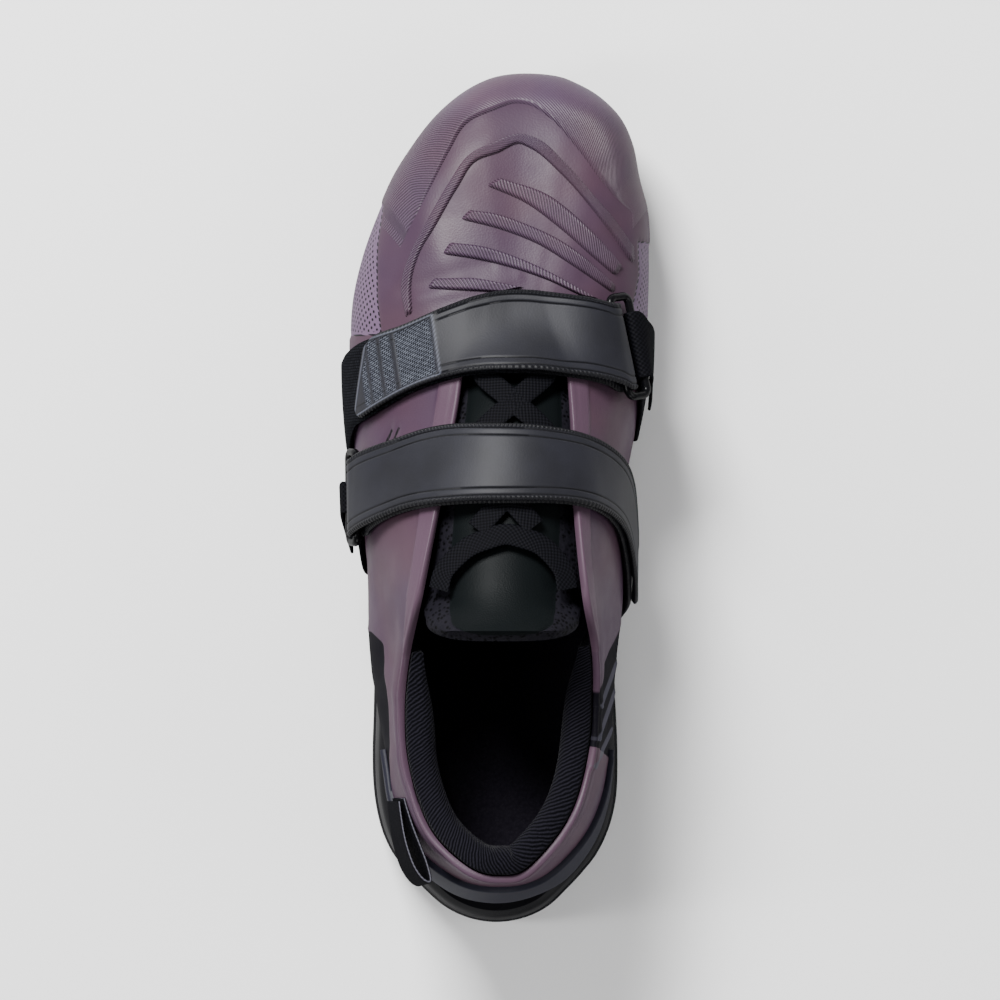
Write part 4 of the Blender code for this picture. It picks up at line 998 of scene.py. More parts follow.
def tongue_rings(count, lanes):
    order = [-row[0] for row in TONGUE_ROWS]
    heights = column(TONGUE_ROWS, 2)
    rings = []
    for run in np.linspace(TONGUE_ROWS[0][0], TONGUE_ROWS[-1][0], count):
        values = [smooth(order, column(TONGUE_ROWS, number), -run) for number in range(1, 6)]
        middle, height, half_wide, drop, pad = values
        rise = COLLAR_HEIGHT * (smooth(order, heights, 1e-3 - run) - smooth(order, heights, -1e-3 - run))
        square = np.array([0, rise, 2e-3 * LENGTH])
        square /= np.linalg.norm(square)
        thick = TONGUE_FRONT_THICK + (TONGUE_THICK - TONGUE_FRONT_THICK) * pad
        c = np.sin(np.linspace(-1, 1, lanes) * math.pi / 2)
        spots = np.stack(
            [
                middle * BALL_WIDTH + c * half_wide * TONGUE_WIDTH / 2,
                np.full(lanes, along(run)),
                COLLAR_HEIGHT * (height - drop * np.abs(c) ** 2.2),
            ],
            -1,
        )
        body = thick * (1 - 0.45 * c**4) / 2
        round_off = np.sqrt(np.clip(1 - np.abs(c) ** 24, 0, 1))
        seam = 0.45 * MM * np.exp(-(((np.abs(c) - PANEL_HALF) / 0.03) ** 2)) * (pad > 0.3)
        mid = spots - square * body[:, None]
        over = mid + square * (body * round_off - seam)[:, None]
        under = mid - square * (body * round_off)[:, None]
        rings.append(np.concatenate([over, under[::-1][1:-1]]))
    return np.array(rings)


tongue_cloth, tree, shader = finish_of(
    "tongue_cloth", {"Coat Weight": 0.08, "Coat Roughness": 0.45}
)
side = parts_of(tree, "skin")["Z"]
border = ramp(tree, side, PANEL_HALF, PANEL_HALF + 0.02)
spot = own_place(tree)
cells = cells_of(tree, spot, 1.6 * MM)
weave = cells_of(tree, spot, 0.5 * MM)
height = mixed(tree, border, weave, cells)
cloth = mixed(tree, ramp(tree, cells, 0.2, 0.5), colour("#050506"), colour("#151419"))
tree.links.new(mixed(tree, border, colour("#0A0D0E"), cloth), shader.inputs["Base Color"])
tree.links.new(ramp(tree, border, 0, 1, 0.5, 0.9), shader.inputs["Roughness"])
raised = bump_of(tree, height, ramp(tree, border, 0, 1, 0.12, 0.5), 0.5 * MM)
relieve(tree, shader, raised)

TONGUE_LANES = 61
pad_rings = tongue_rings(150, TONGUE_LANES)
pad_runs = grid_runs(pad_rings)
share_across = np.abs(np.sin(np.linspace(-1, 1, TONGUE_LANES) * math.pi / 2))
pad_runs[:, :TONGUE_LANES, 2] = share_across
pad_runs[:, TONGUE_LANES:, 2] = 1.0
tongue = fit(surface("tongue_pad", pad_rings, tongue_cloth, {"skin": pad_runs}), "knit", "tongue")

# Mouldings
# A textured bumper round the toe, a band behind it and four tapering ribs, pressed out of the coated
# leather. Each has a fine diagonal twill and soft edges.

MOULD_GAP = 0.7 * MM
MOULD_HIGH = 1.4 * MM
SEATED = -0.15 * MM
BUMPER_INNER = (
    # across, along
    (-0.347, 0.7853),
    (-0.305, 0.8147),
    (-0.229, 0.8667),
    (-0.169, 0.9093),
    (-0.112, 0.9413),
    (-0.021, 0.9573),
    (0.055, 0.9660),
    (0.100, 0.9633),
    (0.161, 0.9493),
    (0.256, 0.9120),
    (0.347, 0.8693),
    (0.415, 0.8440),
    (0.441, 0.8360),
)
BAND_OUTER = (
    (-0.312, 0.7147),
    (-0.328, 0.7480),
    (-0.297, 0.7880),
    (-0.252, 0.8200),
    (-0.169, 0.8720),
    (-0.104, 0.9040),
    (-0.036, 0.9173),
    (0.063, 0.9293),
    (0.123, 0.9240),
    (0.218, 0.8947),
    (0.309, 0.8573),
    (0.384, 0.8253),
    (0.437, 0.7987),
)
BAND_INNER = (
    (-0.290, 0.7147),
    (-0.294, 0.7480),
    (-0.267, 0.7880),
    (-0.214, 0.8200),
    (-0.138, 0.8667),
    (-0.081, 0.8960),
    (-0.006, 0.9067),
    (0.063, 0.9173),
    (0.100, 0.9120),
    (0.199, 0.8827),
    (0.309, 0.8387),
    (0.384, 0.8040),
    (0.437, 0.7773),
)
RIBS = (
    # toe-side line and heel-side line of each rib
    (
        ((0.002, 0.877), (0.161, 0.857), (0.256, 0.831), (0.347, 0.799), (0.400, 0.776)),
        ((-0.047, 0.868), (0.085, 0.847), (0.199, 0.817), (0.309, 0.783), (0.380, 0.762)),
    ),
    (
        ((-0.097, 0.839), (-0.028, 0.836), (0.085, 0.823), (0.199, 0.804), (0.294, 0.780), (0.375, 0.754)),
        ((-0.131, 0.828), (0.009, 0.815), (0.123, 0.799), (0.233, 0.775), (0.347, 0.748), (0.372, 0.742)),
    ),
    (
        ((-0.161, 0.801), (-0.066, 0.797), (0.047, 0.785), (0.161, 0.767), (0.271, 0.745), (0.330, 0.733)),
        ((-0.191, 0.787), (-0.066, 0.780), (0.055, 0.769), (0.161, 0.756), (0.240, 0.743), (0.275, 0.737)),
    ),
    (
        ((-0.214, 0.759), (-0.104, 0.759), (0.009, 0.753), (0.080, 0.7475)),
        ((-0.236, 0.7465), (-0.150, 0.7445), (-0.066, 0.7435), (0.000, 0.7425)),
    ),
)
THROAT_ARCH = (
    # turn, rise of the arch over the throat's edges, share of the collar's height
    (0.455, 0.105),
    (0.520, 0.075),
    (0.585, 0.070),
    (0.640, 0.045),
    (0.700, 0.020),
    (0.850, 0.000),
)


def throat_point(turn, c):
    """The arch over the throat at a turn of the outer edge, c from 0 outer to 1 inner."""
    rise = COLLAR_HEIGHT * smooth(column(THROAT_ARCH, 0), column(THROAT_ARCH, 1), turn)
    point = upper_point(turn, 1.0) * (1 - c) + upper_point(2 - turn, 1.0) * c
    point[2] += rise * (1 - (2 * c - 1) ** 2)
    return point


def sheet_faces(rows, first):
    count, size = rows.shape[:2]
    at = [(first + i * size + j) for i in range(count - 1) for j in range(size - 1)]
    return [Vector(p) for p in rows.reshape(-1, 3)], [(a, a + 1, a + size + 1, a + size) for a in at]


def draping_form(skin_turns, skin_rises, relief_too):
    """The upper's outer face, with the arch across its throat, for laying strips on."""
    turn, rise = np.meshgrid(np.linspace(0, 2, skin_turns), np.linspace(0, 1, skin_rises), indexing="ij")
    out = upper_relief(turn, rise)[0] * MM if relief_too else 0 * turn
    points, faces = sheet_faces(upper_skin(turn, rise, out), 0)
    lanes = np.linspace(0, 1, 13)
    arch = np.array([[throat_point(t, c) for c in lanes] for t in np.linspace(0.44, 0.85, 40)])
    more, others = sheet_faces(arch, len(points))
    return BVHTree.FromPolygons(points + more, faces + others)


form = draping_form(321, 60, False)
leather_form = draping_form(481, 120, True)


def onto(x, y, out):
    """The point of the vamp straight below a plan point, and the way out of it."""
    found, square, _, _ = leather_form.ray_cast(Vector((x, y, 1)), Vector((0, 0, -1)))
    square = square if square.z > 0 else -square
    return np.array(found + square * out), np.array(square)


def line_at(line, t):
    points = np.array([(x * BALL_WIDTH, along(y)) for x, y in line])
    run = run_of(points)
    return smooth(run / run[-1], points, t)


def raised_rings(under, ways, thick, lip):
    """Sections of a raised strip from its seat: grids of seat points and outward ways, with soft edges."""
    rings = []
    for row, way, thick in zip(under, ways, np.broadcast_to(thick, len(under))):
        run = run_of(row)
        near = np.clip(np.minimum(run, run[-1] - run) / min(lip, run[-1] * 0.4 + 1e-6), 0, 1)
        over = row + way * (SEATED + (thick - SEATED) * np.sqrt(1 - (1 - near) ** 2))[:, None]
        rings.append(np.concatenate([over, (row + way * SEATED * 2)[::-1][1:-1]]))
    return np.array(rings)


twill, tree, shader = finish_of(
    "twill_pressed_leather", {"Coat Weight": 0.36, "Coat Roughness": 0.4}
)
spot = own_place(tree)
TWILL_PITCH = 0.85 * MM
band = bands_of(tree, laid_at(tree, field_of(tree, "skin"), 48), TWILL_PITCH, 0.4)
cloud = clouds_of(tree, spot, 50 * MM, 3)
hide = mixed(tree, ramp(tree, cloud, 0.35, 0.65), colour("#48353F"), colour("#3F3141"))
place = add(tree, "ShaderNodeSeparateXYZ", {"Vector": spot}).outputs["Y"]
clear = ramp(tree, place, 238 * MM, 250 * MM, 1.0, 0.25)
# Painted shade: the twill's valleys are painted darker, fading out towards the toe tip.
twill_valley_shade = calc(tree, "MULTIPLY", ramp(tree, band, 0.6, 0.15), clear)
hide = mixed(tree, twill_valley_shade, hide, mixed(tree, 0.7, hide, colour("#170F17")))
tree.links.new(hide, shader.inputs["Base Color"])
band = calc(tree, "MULTIPLY", band, clear)
raised = bump_of(tree, band, 0.7, 0.25 * MM)
relieve(tree, shader, raised)


def strip_on_vamp(name, outer_line, inner_line, sections, lanes, lip, node):
    seats, ways = [], []
    for t in np.linspace(0, 1, sections):
        a, b = line_at(outer_line, t), line_at(inner_line, t)
        row = [onto(*(a + (b - a) * c), MOULD_GAP - SEATED) for c in np.linspace(0, 1, lanes)]
        seats.append([found - square * (MOULD_GAP - SEATED) for found, square in row])
        ways.append([square for _, square in row])
    rings = raised_rings(np.array(seats), np.array(ways), MOULD_HIGH, lip)
    ends = np.clip(np.minimum(np.arange(sections), np.arange(sections)[::-1]) / 3, 0, 1)
    for ring, share in zip(rings, ends):
        low = ring[[0, lanes - 1]].mean(0)
        ring[:lanes] += (low - ring[:lanes]) * np.array([0, 0, 1]) * (1 - share)
    return fit(surface(name, rings, twill, {"skin": grid_runs(rings)}, sharp=60), "coated_leather", node)


def rise_at_line(turn, line):
    """How far up a section of the upper its plan crosses a line that runs round the toe."""
    points = line_at(line, np.linspace(0, 1, 80))
    low, high = LOW_SHARE, 0.95
    for _ in range(24):
        middle = (low + high) / 2
        x, y = upper_point(turn, middle)[:2]
        beyond = np.interp(x, points[:, 0], points[:, 1])
        past = y > beyond or x < points[0, 0] or x > points[-1, 0]
        low, high = (middle, high) if past else (low, middle)
    return (low + high) / 2


def overlay_grid(turn_list, low, high, lanes):
    """Seat points and outward ways of a moulding between two rises on the upper."""
    rise = low[:, None] + (high - low)[:, None] * np.linspace(0, 1, lanes)[None, :]
    turn = np.broadcast_to(np.asarray(turn_list)[:, None], rise.shape)
    out = upper_relief(turn, rise)[0] * MM
    return upper_skin(turn, rise, out), upper_normal(turn, rise)


BUMPER_TURNS = (0.728, 1.262)
BUMPER_FOOT = 0.07
BUMPER_END_HIGH = 0.1 * MM
BUMPER_SECTIONS = 220
# The bumper in 27 parts: its foot comes down over 3 of them from each end, its body rises over 9
BUMPER_PARTS = 27
FOOT_PARTS = 3
TAPER_PARTS = 9
VENT_END_TURN = 0.85
VENT_CLEAR = 1.3
VENT_SAMPLES = 200
EVENED_OVER = 9
bumper_turns = np.linspace(*BUMPER_TURNS, BUMPER_SECTIONS)
bumper_top = np.array([rise_at_line(turn, BUMPER_INNER) for turn in bumper_turns])
section = np.arange(BUMPER_SECTIONS)
from_end = np.minimum(section, section[::-1]) * BUMPER_PARTS / (BUMPER_SECTIONS - 1)


def rise_at_vent(turn):
    """The rise at which a section of the upper leaves the perforated panel, 0 where it never meets it."""
    ys = [y * MM for _, y in OUTER_VENT[3::-1]]
    xs = [(x + VENT_CLEAR) * MM for x, _ in OUTER_VENT[3::-1]]
    rises = np.linspace(0, 0.9, VENT_SAMPLES)
    spots = upper_point(np.full(VENT_SAMPLES, turn), rises)
    outside = (spots[:, 1] < ys[-1]) & (spots[:, 0] < np.interp(spots[:, 1], ys, xs))
    return rises[outside].max() if outside.any() else 0.0


bumper_foot = LOW_SHARE + (BUMPER_FOOT - LOW_SHARE) * np.clip(from_end / FOOT_PARTS, 0, 1)
beside_vent = [rise_at_vent(turn) if turn < VENT_END_TURN else 0.0 for turn in bumper_turns]
beside_vent = np.pad(beside_vent, EVENED_OVER // 2, mode="edge")
beside_vent = np.convolve(beside_vent, np.ones(EVENED_OVER) / EVENED_OVER, "valid")
bumper_foot = np.maximum(bumper_foot, beside_vent)
bumper_top = np.maximum(bumper_top, bumper_foot + 0.015)
seats, ways = overlay_grid(bumper_turns, bumper_foot, bumper_top, 60)
end_share = np.clip(from_end / TAPER_PARTS, 0, 1)
end_share = end_share * end_share * (3 - 2 * end_share)
bumper_high = BUMPER_END_HIGH + (MOULD_HIGH - BUMPER_END_HIGH) * end_share
bumper = raised_rings(seats, ways, bumper_high, 1.4 * MM)
moulding = surface("toe_bumper_moulding", bumper, twill, {"skin": grid_runs(bumper)}, sharp=60)
fit(moulding, "coated_leather", "toe_bumper")
strip_on_vamp("toe_band_moulding", BAND_OUTER, BAND_INNER, 260, 14, 1.2 * MM, "toe_band")
for number, (toe_line, heel_line) in enumerate(RIBS, 1):
    name = f"vamp_rib_moulding_{number}"
    strip_on_vamp(name, toe_line, heel_line, 130, 16, 1.5 * MM, f"vamp_rib_{number}")

# Heel counter
# A slate moulding of stiff plastic round the back of the heel, bonded over the leather.

COUNTER_ROWS = (
    # turn, low, high
    (1.72, 0.30, 0.34),
    (1.80, 0.26, 0.50),
    (1.90, 0.24, 0.60),
    (2.00, 0.24, 0.64),
    (2.10, 0.24, 0.60),
    (2.20, 0.26, 0.50),
    (2.28, 0.30, 0.34),
)
slate, tree, shader = finish_of(
    "slate_counter_plastic", {"Base Color": colour("#1C1C25"), "Coat Weight": 0.15, "Coat Roughness": 0.4}
)
spot = own_place(tree)
grain = clouds_of(tree, spot, 0.6 * MM, 2)
raised = bump_of(tree, grain, 0.25, 0.1 * MM)
relieve(tree, shader, raised)
counter_turns = np.linspace(COUNTER_ROWS[0][0], COUNTER_ROWS[-1][0], 200)
seats, ways = overlay_grid(
    counter_turns,
    smooth(column(COUNTER_ROWS, 0), column(COUNTER_ROWS, 1), counter_turns),
    smooth(column(COUNTER_ROWS, 0), column(COUNTER_ROWS, 2), counter_turns),
    40,
)
counter = raised_rings(seats, ways, MOULD_HIGH + 0.5 * MM, 1.2 * MM)
fit(surface("heel_counter_moulding", counter, slate, sharp=60), "counter_plastic", "heel_counter")

# Straps
# Two straps of black coated leather with a hook-and-loop face. Each is sewn down on one side, runs round
# the foot, folds round a ring and lies back over itself. Two fine lines are pressed along each edge, and
# the forefoot strap ends in a woven tab with smooth ribs.

STRAP = 1.8 * MM
STRAP_SEAT = 1.1 * MM
RING_WIRE = 3.0 * MM
RING_REACH = 9.0 * MM
WEBBING = 1.1 * MM
LAYER_GAP = 0.4 * MM
FOLD_BLEND = 30.0
FOLD_CLEAR = 6.0
FREE_ROUND = 7 * MM
# Stations along the lower and the upper layer
STRAP_STATIONS = (24, 30)
TAPE_STATIONS = (9, 6)
FOLD_STATIONS = 7
LANES = (0.0, 0.5, 1.0)
GIRTH_AXIS = Vector((0, 0, 0.45 * COLLAR_HEIGHT))
STRAP_FOREFOOT = (
    # angle, along of the front edge, along of the rear edge
    (-38, 0.664, 0.548),
    (-20, 0.666, 0.553),
    (0, 0.676, 0.572),
    (8, 0.683, 0.585),
    (20, 0.692, 0.594),
    (30, 0.700, 0.606),
    (42, 0.713, 0.622),
    (58, 0.727, 0.635),
    (75, 0.736, 0.642),
    (90, 0.740, 0.644),
    (105, 0.741, 0.644),
    (120, 0.740, 0.641),
    (134, 0.736, 0.637),
    (149, 0.728, 0.628),
    (158, 0.720, 0.620),
    (175, 0.705, 0.610),
)
STRAP_ANKLE = (
    (-10, 0.530, 0.442),
    (0, 0.534, 0.446),
    (12, 0.541, 0.452),
    (25, 0.552, 0.462),
    (40, 0.564, 0.474),
    (55, 0.576, 0.485),
    (70, 0.582, 0.491),
    (90, 0.583, 0.494),
    (105, 0.581, 0.494),
    (120, 0.574, 0.489),
    (135, 0.561, 0.476),
    (150, 0.540, 0.455),
    (162, 0.516, 0.428),
    (172, 0.490, 0.404),
    (182, 0.462, 0.384),
    (190, 0.440, 0.374),
    (205, 0.430, 0.350),
)


def girth(angle, y, out):
    """A point round the foot at a station y: angle 0 is outer, 90 straight up, 180 inner."""
    found = None
    while found is None:
        turned = math.radians(angle)
        way = Vector((-math.cos(turned), 0, math.sin(turned)))
        found, square, _, _ = form.ray_cast(Vector((GIRTH_AXIS.x, y, GIRTH_AXIS.z)), way)
        angle += 1 if angle < 90 else -1
    square = square if square.dot(way) > 0 else -square
    return np.array(found + square * out), np.array(square)


def lane_y(table, angle, lane, narrow):
    front = along(smooth(column(table, 0), column(table, 1), angle))
    rear = along(smooth(column(table, 0), column(table, 2), angle))
    return (front - narrow) * (1 - lane) + (rear + narrow) * lane


def fold_frame(table, angle, step, seat, radius, lane, narrow=0.0):
    here, square = girth(angle, lane_y(table, angle, lane, narrow), 0)
    before, _ = girth(angle - step * 3, lane_y(table, angle - step * 3, lane, narrow), 0)
    onward = here - before
    onward -= square * onward.dot(square)
    return here + square * (seat + radius), onward / np.linalg.norm(onward), square


def bar_frame(table, fold, step, thick, seat, bar, narrow=0.0):
    """The bar inside a fold: its middle, the way along it, the way onward and its half length."""
    radius = bar / 2 + GAP + thick / 2
    ends = [fold_frame(table, fold, step, seat + thick / 2, radius, lane, narrow) for lane in (0.0, 1.0)]
    run = ends[0][0] - ends[1][0]
    half_long = np.linalg.norm(run) / 2
    run /= np.linalg.norm(run)
    onward = ends[0][1] + ends[1][1]
    onward -= run * onward.dot(run)
    return (ends[0][0] + ends[1][0]) / 2, run, onward / np.linalg.norm(onward), half_long


def folded_strip(table, anchor, fold, free, seat, thick, bar, end_seat=None, narrow=0.0, held=None):
    """Sections of a strip from its sewn end round a bar to its free end: three face points, three back."""
    step = 1 if fold > anchor else -1
    inner = bar / 2 + GAP
    radius = inner + thick / 2
    end_seat = seat if end_seat is None else end_seat
    rings = []

    def layer_points(angles, upper):
        made = []
        for angle in angles:
            near = max(0.0, 1 - abs(fold - angle) / FOLD_BLEND)
            near = near * near * (3 - 2 * near)
            base = seat + (end_seat - seat) * near
            base += (thick + LAYER_GAP + (2 * inner - LAYER_GAP) * near) if upper else 0
            spots = [(angle, lane_y(table, angle, lane, narrow)) for lane in LANES]
            far = [girth(*spot, base + thick)[0] for spot in spots]
            close = [girth(*spot, base)[0] for spot in spots]
            made.append((far, close) if upper else (close, far))
        return made

    clear = step * FOLD_CLEAR if held else 0
    lower_count, upper_count = TAPE_STATIONS if held else STRAP_STATIONS
    for face, back in layer_points(np.linspace(anchor, fold - clear, lower_count)[:-1], False):
        rings.append(face + back[::-1])
    middle, run, onward, half_long = bar_frame(table, fold, step, thick, end_seat, bar, narrow)
    if held:
        middle, run, onward = held
    square = np.cross(run, onward)
    square *= 1 if square[2] > 0 else -1
    for turned in np.radians(np.linspace(-90, 90, FOLD_STATIONS)):
        way = onward * math.cos(turned) + square * math.sin(turned)
        spots = [middle + run * half_long * (1 - 2 * lane) for lane in LANES]
        face = [spot + way * (radius + thick / 2) for spot in spots]
        back = [spot + way * (radius - thick / 2) for spot in spots]
        rings.append(face + back[::-1])
    for face, back in layer_points(np.linspace(fold - clear, free, upper_count)[1:], True):
        rings.append(face + back[::-1])
    return np.array(rings)


def lane_weights(t):
    """Weights of the three points across a strip, for places t from 0 to 1."""
    return np.stack([(1 - t) * (1 - 2 * t), 4 * t * (1 - t), t * (2 * t - 1)])


def fine_strip(rings, spacing, lanes, free_round, relief=None):
    """A strip through its sections: closer sections, many lanes, round edges and a rounded free end."""
    run = run_of(rings[:, [1, 4]].mean(1))
    places = [
        np.linspace(a, b, max(2, math.ceil((b - a) / spacing)), endpoint=False)
        for a, b in zip(run[:-1], run[1:])
    ]
    tip = run[-1] - free_round * (1 - np.cos(np.linspace(0, math.pi / 2, 16)))[::-1]
    at = np.unique(np.concatenate([*places, tip, [run[-1]]]))
    fine = smooth(run, rings, at, free=True)
    edge = (1 - np.cos(np.linspace(0, math.pi / 2, 6))) * 0.03
    t = np.concatenate([edge, np.linspace(0.03, 0.97, lanes)[1:-1], 1 - edge[::-1]])
    left = run[-1] - at
    wide = np.linalg.norm(fine[:, 0] - fine[:, 2], axis=-1)
    cut = free_round - np.sqrt(np.clip(free_round**2 - np.clip(free_round - left, 0, None) ** 2, 0, None))
    share = np.minimum(cut / wide, 0.42)
    drawn = share[:, None] + (1 - 2 * share[:, None]) * t[None, :]
    weights = lane_weights(drawn)
    face = np.einsum("knl,nkc->nlc", weights, fine[:, :3])
    back = np.einsum("knl,nkc->nlc", weights, fine[:, 5:2:-1])
    across = drawn * wide[:, None]
    half_body = (face - back) / 2
    thick = np.linalg.norm(half_body, axis=-1, keepdims=True)
    rim = np.minimum(np.minimum(t, 1 - t) * wide[:, None], left[:, None] + 1e-5)
    round_off = np.sqrt(np.clip(1 - (1 - np.clip(rim / thick[..., 0], 0, 1)) ** 2, 0, 1))[..., None]
    ridge = 0 if relief is None else relief(across, wide, left, face)[..., None] * MM
    centre = (face + back) / 2
    top = centre + half_body * round_off + half_body / thick * ridge * (round_off > 0.99)
    few = np.linspace(0, len(t) - 1, 14).round().astype(int)[1:-1][::-1]
    low = (centre - half_body * round_off)[:, few]
    points = np.concatenate([top, low], 1)
    field = np.stack(np.broadcast_arrays(left[:, None], across, wide[:, None]), -1)
    field = np.concatenate([field, field[:, few], field[:, :1]], 1)
    return points, field


EDGE_LINES = (2.0, 4.7)


def edge_lines(across, wide):
    """Two fine pressed lines along each edge, and the stitched rim."""
    edge = np.minimum(across, wide[:, None] - across) / MM
    lines = sum(np.exp(-(((edge - place) / 0.28) ** 2)) for place in EDGE_LINES)
    return -0.35 * lines + 0.22 * np.exp(-(((edge - 0.9) / 0.5) ** 2))


def ankle_relief(across, wide, left, face):
    return edge_lines(across, wide) * (left[:, None] > 4 * MM)


# Woven parts of the tab, from one x to the next in mm, with smooth ribs between
TAB_WOVEN = ((-48.2, -46.4), (-45.4, -42.2), (-40.9, -37.6), (-35.8, -23.6))
TAB_END = -22.4


def tab_shares(x, across, wide, left):
    """Shares of woven cloth, of the line round the tab and of the cloth wing at the sewn end."""
    x = x / MM - 0.12 * (across - wide / 2) / MM
    on_top = left < 90 * MM
    edge = np.minimum(np.minimum(across, wide - across), left) / MM
    woven = sum(soft_step(np.minimum(x - low, high - x), 0.5) for low, high in TAB_WOVEN)
    woven = woven * soft_step(edge - 2.4, 0.5) * on_top
    line = np.minimum(np.abs(edge - 1.5), 9) + 9 * (x > TAB_END)
    line = np.minimum(line, np.abs(x - TAB_END) + 9 * (edge < 1.5))
    line = soft_step(0.25 - line, 0.3) * on_top
    wing = soft_step(left / MM - 150, 20) + 0 * edge
    return np.stack([woven, line, wing], -1)


def forefoot_relief(across, wide, left, face):
    """The tab near the free end with its smooth ribs, then the plain strap."""
    shares = tab_shares(face[..., 0], across, wide[:, None], left[:, None])
    plain = face[..., 0] > TAB_END * MM
    return edge_lines(across, wide) * plain - 0.3 * shares[..., 0] + 0.15 * shares[..., 1] * ~plain


strap_leather, tree, shader = finish_of(
    "black_coated_strap", {"Coat Roughness": 0.5, "Coat Tint": colour("#E4E8FA")}
)
run = field_of(tree, "skin")
parts = parts_of(tree, "skin")
spot = own_place(tree)
other_edge = calc(tree, "SUBTRACT", parts["Z"], parts["Y"])
edge = calc(tree, "MINIMUM", parts["Y"], other_edge)
cloud = clouds_of(tree, spot, 20 * MM, 4)
hide = mixed(tree, ramp(tree, cloud, 0.35, 0.65), colour("#16161A"), colour("#1B1B20"))
# Painted shade: the two pressed lines along each edge are real grooves, and here they are also painted
# darker than the strap.
for place in EDGE_LINES:
    off = calc(tree, "ADD", edge, -place * MM)
    off = calc(tree, "ABSOLUTE", off)
    hide = mixed(tree, ramp(tree, off, 0.45 * MM, 0.2 * MM), hide, colour("#0A0A0D"))
hide = mixed(tree, ramp(tree, edge, 1.6 * MM, 1.2 * MM), hide, colour("#0D0D10"))
tab = parts_of(tree, "tab")
in_mm = laid_at(tree, run, 14, (1 / MM, 1 / MM, 0.0))
brick = add(
    tree,
    "ShaderNodeTexBrick",
    {
        "Vector": in_mm,
        "Color1": colour("#4C4F57"),
        "Color2": colour("#383A41"),
        "Mortar": colour("#020203"),
        "Scale": 1.0,
        "Mortar Size": 0.16,
        "Mortar Smooth": 0.4,
        "Brick Width": 1.7,
        "Row Height": 0.95,
    },
)
hide = mixed(tree, tab["X"], hide, brick.outputs["Color"])
hide = mixed(tree, tab["Y"], hide, colour("#4A4C54"))
hide = mixed(tree, tab["Z"], hide, mixed(tree, 0.9, brick.outputs["Color"], colour("#060608")))
tree.links.new(hide, shader.inputs["Base Color"])
THREAD_PITCH = 1.5 * MM
ticks = calc(tree, "MULTIPLY", parts["X"], 2 * math.pi / THREAD_PITCH)
ticks = calc(tree, "SINE", ticks)
rim = ramp(tree, edge, 1.8 * MM, 1.2 * MM)
ticks = calc(tree, "MULTIPLY", ticks, rim)
grain = leather_bump(tree, spot, 0.6 * MM, 0.1)
raised = bump_of(tree, ticks, 0.6, 0.2 * MM, grain)
cloth = calc(tree, "MAXIMUM", tab["X"], tab["Z"])
gaps = calc(tree, "MULTIPLY", brick.outputs["Fac"], cloth)
raised = bump_of(tree, gaps, 0.8, 0.2 * MM, raised, sunk=True)
relieve(tree, shader, raised)
tree.links.new(ramp(tree, cloth, 0.0, 1.0, 0.32, 0.03), shader.inputs["Coat Weight"])


def tab_field(points, field):
    x = np.concatenate([points[..., 0], points[:, :1, 0]], 1)
    return tab_shares(x, field[..., 1], field[..., 2], field[..., 0])


FOREFOOT_FOLD, FOREFOOT_SEWN, FOREFOOT_FREE = 152, -30, 15
ANKLE_FOLD, ANKLE_SEWN, ANKLE_FREE = 20, 200, 192
rings = folded_strip(
    STRAP_FOREFOOT, FOREFOOT_SEWN, FOREFOOT_FOLD, FOREFOOT_FREE, STRAP_SEAT, STRAP, RING_WIRE
)
points, field = fine_strip(rings, 0.75 * MM, 90, FREE_ROUND, forefoot_relief)
fields = {"skin": field, "tab": tab_field(points, field)}
fit(surface("forefoot_strap", points, strap_leather, fields, sharp=60), "strap_leather", "strap_forefoot")
rings = folded_strip(STRAP_ANKLE, ANKLE_SEWN, ANKLE_FOLD, ANKLE_FREE, STRAP_SEAT, STRAP, RING_WIRE)
points, field = fine_strip(rings, 1.0 * MM, 80, FREE_ROUND, ankle_relief)
strap = surface("ankle_strap", points, strap_leather, {"skin": field}, sharp=60)
fit(strap, "strap_leather", "strap_ankle")

# Rings and their webbing
# Black moulded rings inside the folds. Woven nylon tape, sewn into the sole's edge, holds each by its far
# bar and is stitched back on itself.

ring_plastic, tree, shader = finish_of(
    "black_ring_moulding", {"Base Color": colour("#09090B"), "Coat Weight": 0.22, "Coat Roughness": 0.25}
)
spot = own_place(tree)
grain = clouds_of(tree, spot, 0.8 * MM, 2)
raised = bump_of(tree, grain, 0.2, 0.1 * MM)
relieve(tree, shader, raised)


def ring_piece(name, bar, node):
    """A wire ring with rounded corners, its first bar inside the strap's fold."""
    middle, run, onward, half_long = bar
    off = np.cross(run, onward)
    corner = 2.5 * MM
    half_bar, half_reach = half_long + RING_WIRE / 2 + 2 * GAP, RING_REACH / 2
    rings = []
    for quarter, (sx, sy) in enumerate(((1, 1), (-1, 1), (-1, -1), (1, -1))):
        for turned in np.radians(np.linspace(0, 90, 10) + 90 * quarter):
            over = sx * (half_bar - corner) + corner * math.cos(turned)
            reach = sy * (half_reach - corner) + corner * math.sin(turned)
            spot = middle + onward * half_reach + run * over + onward * reach
            out_way = run * math.cos(turned) + onward * math.sin(turned)
            wire = [out_way * math.cos(a) + off * math.sin(a) for a in np.radians(np.arange(0, 360, 18))]
            rings.append([spot + way * RING_WIRE / 2 for way in wire])
    return fit(surface(name, np.array(rings), ring_plastic, wrap=(True, True)), "ring_plastic", node)


forefoot_bar = bar_frame(STRAP_FOREFOOT, FOREFOOT_FOLD, 1, STRAP, STRAP_SEAT, RING_WIRE)
ankle_bar = bar_frame(STRAP_ANKLE, ANKLE_FOLD, -1, STRAP, STRAP_SEAT, RING_WIRE)
ring_piece("forefoot_ring", forefoot_bar, "ring_forefoot")
ring_piece("ankle_ring", ankle_bar, "ring_ankle")

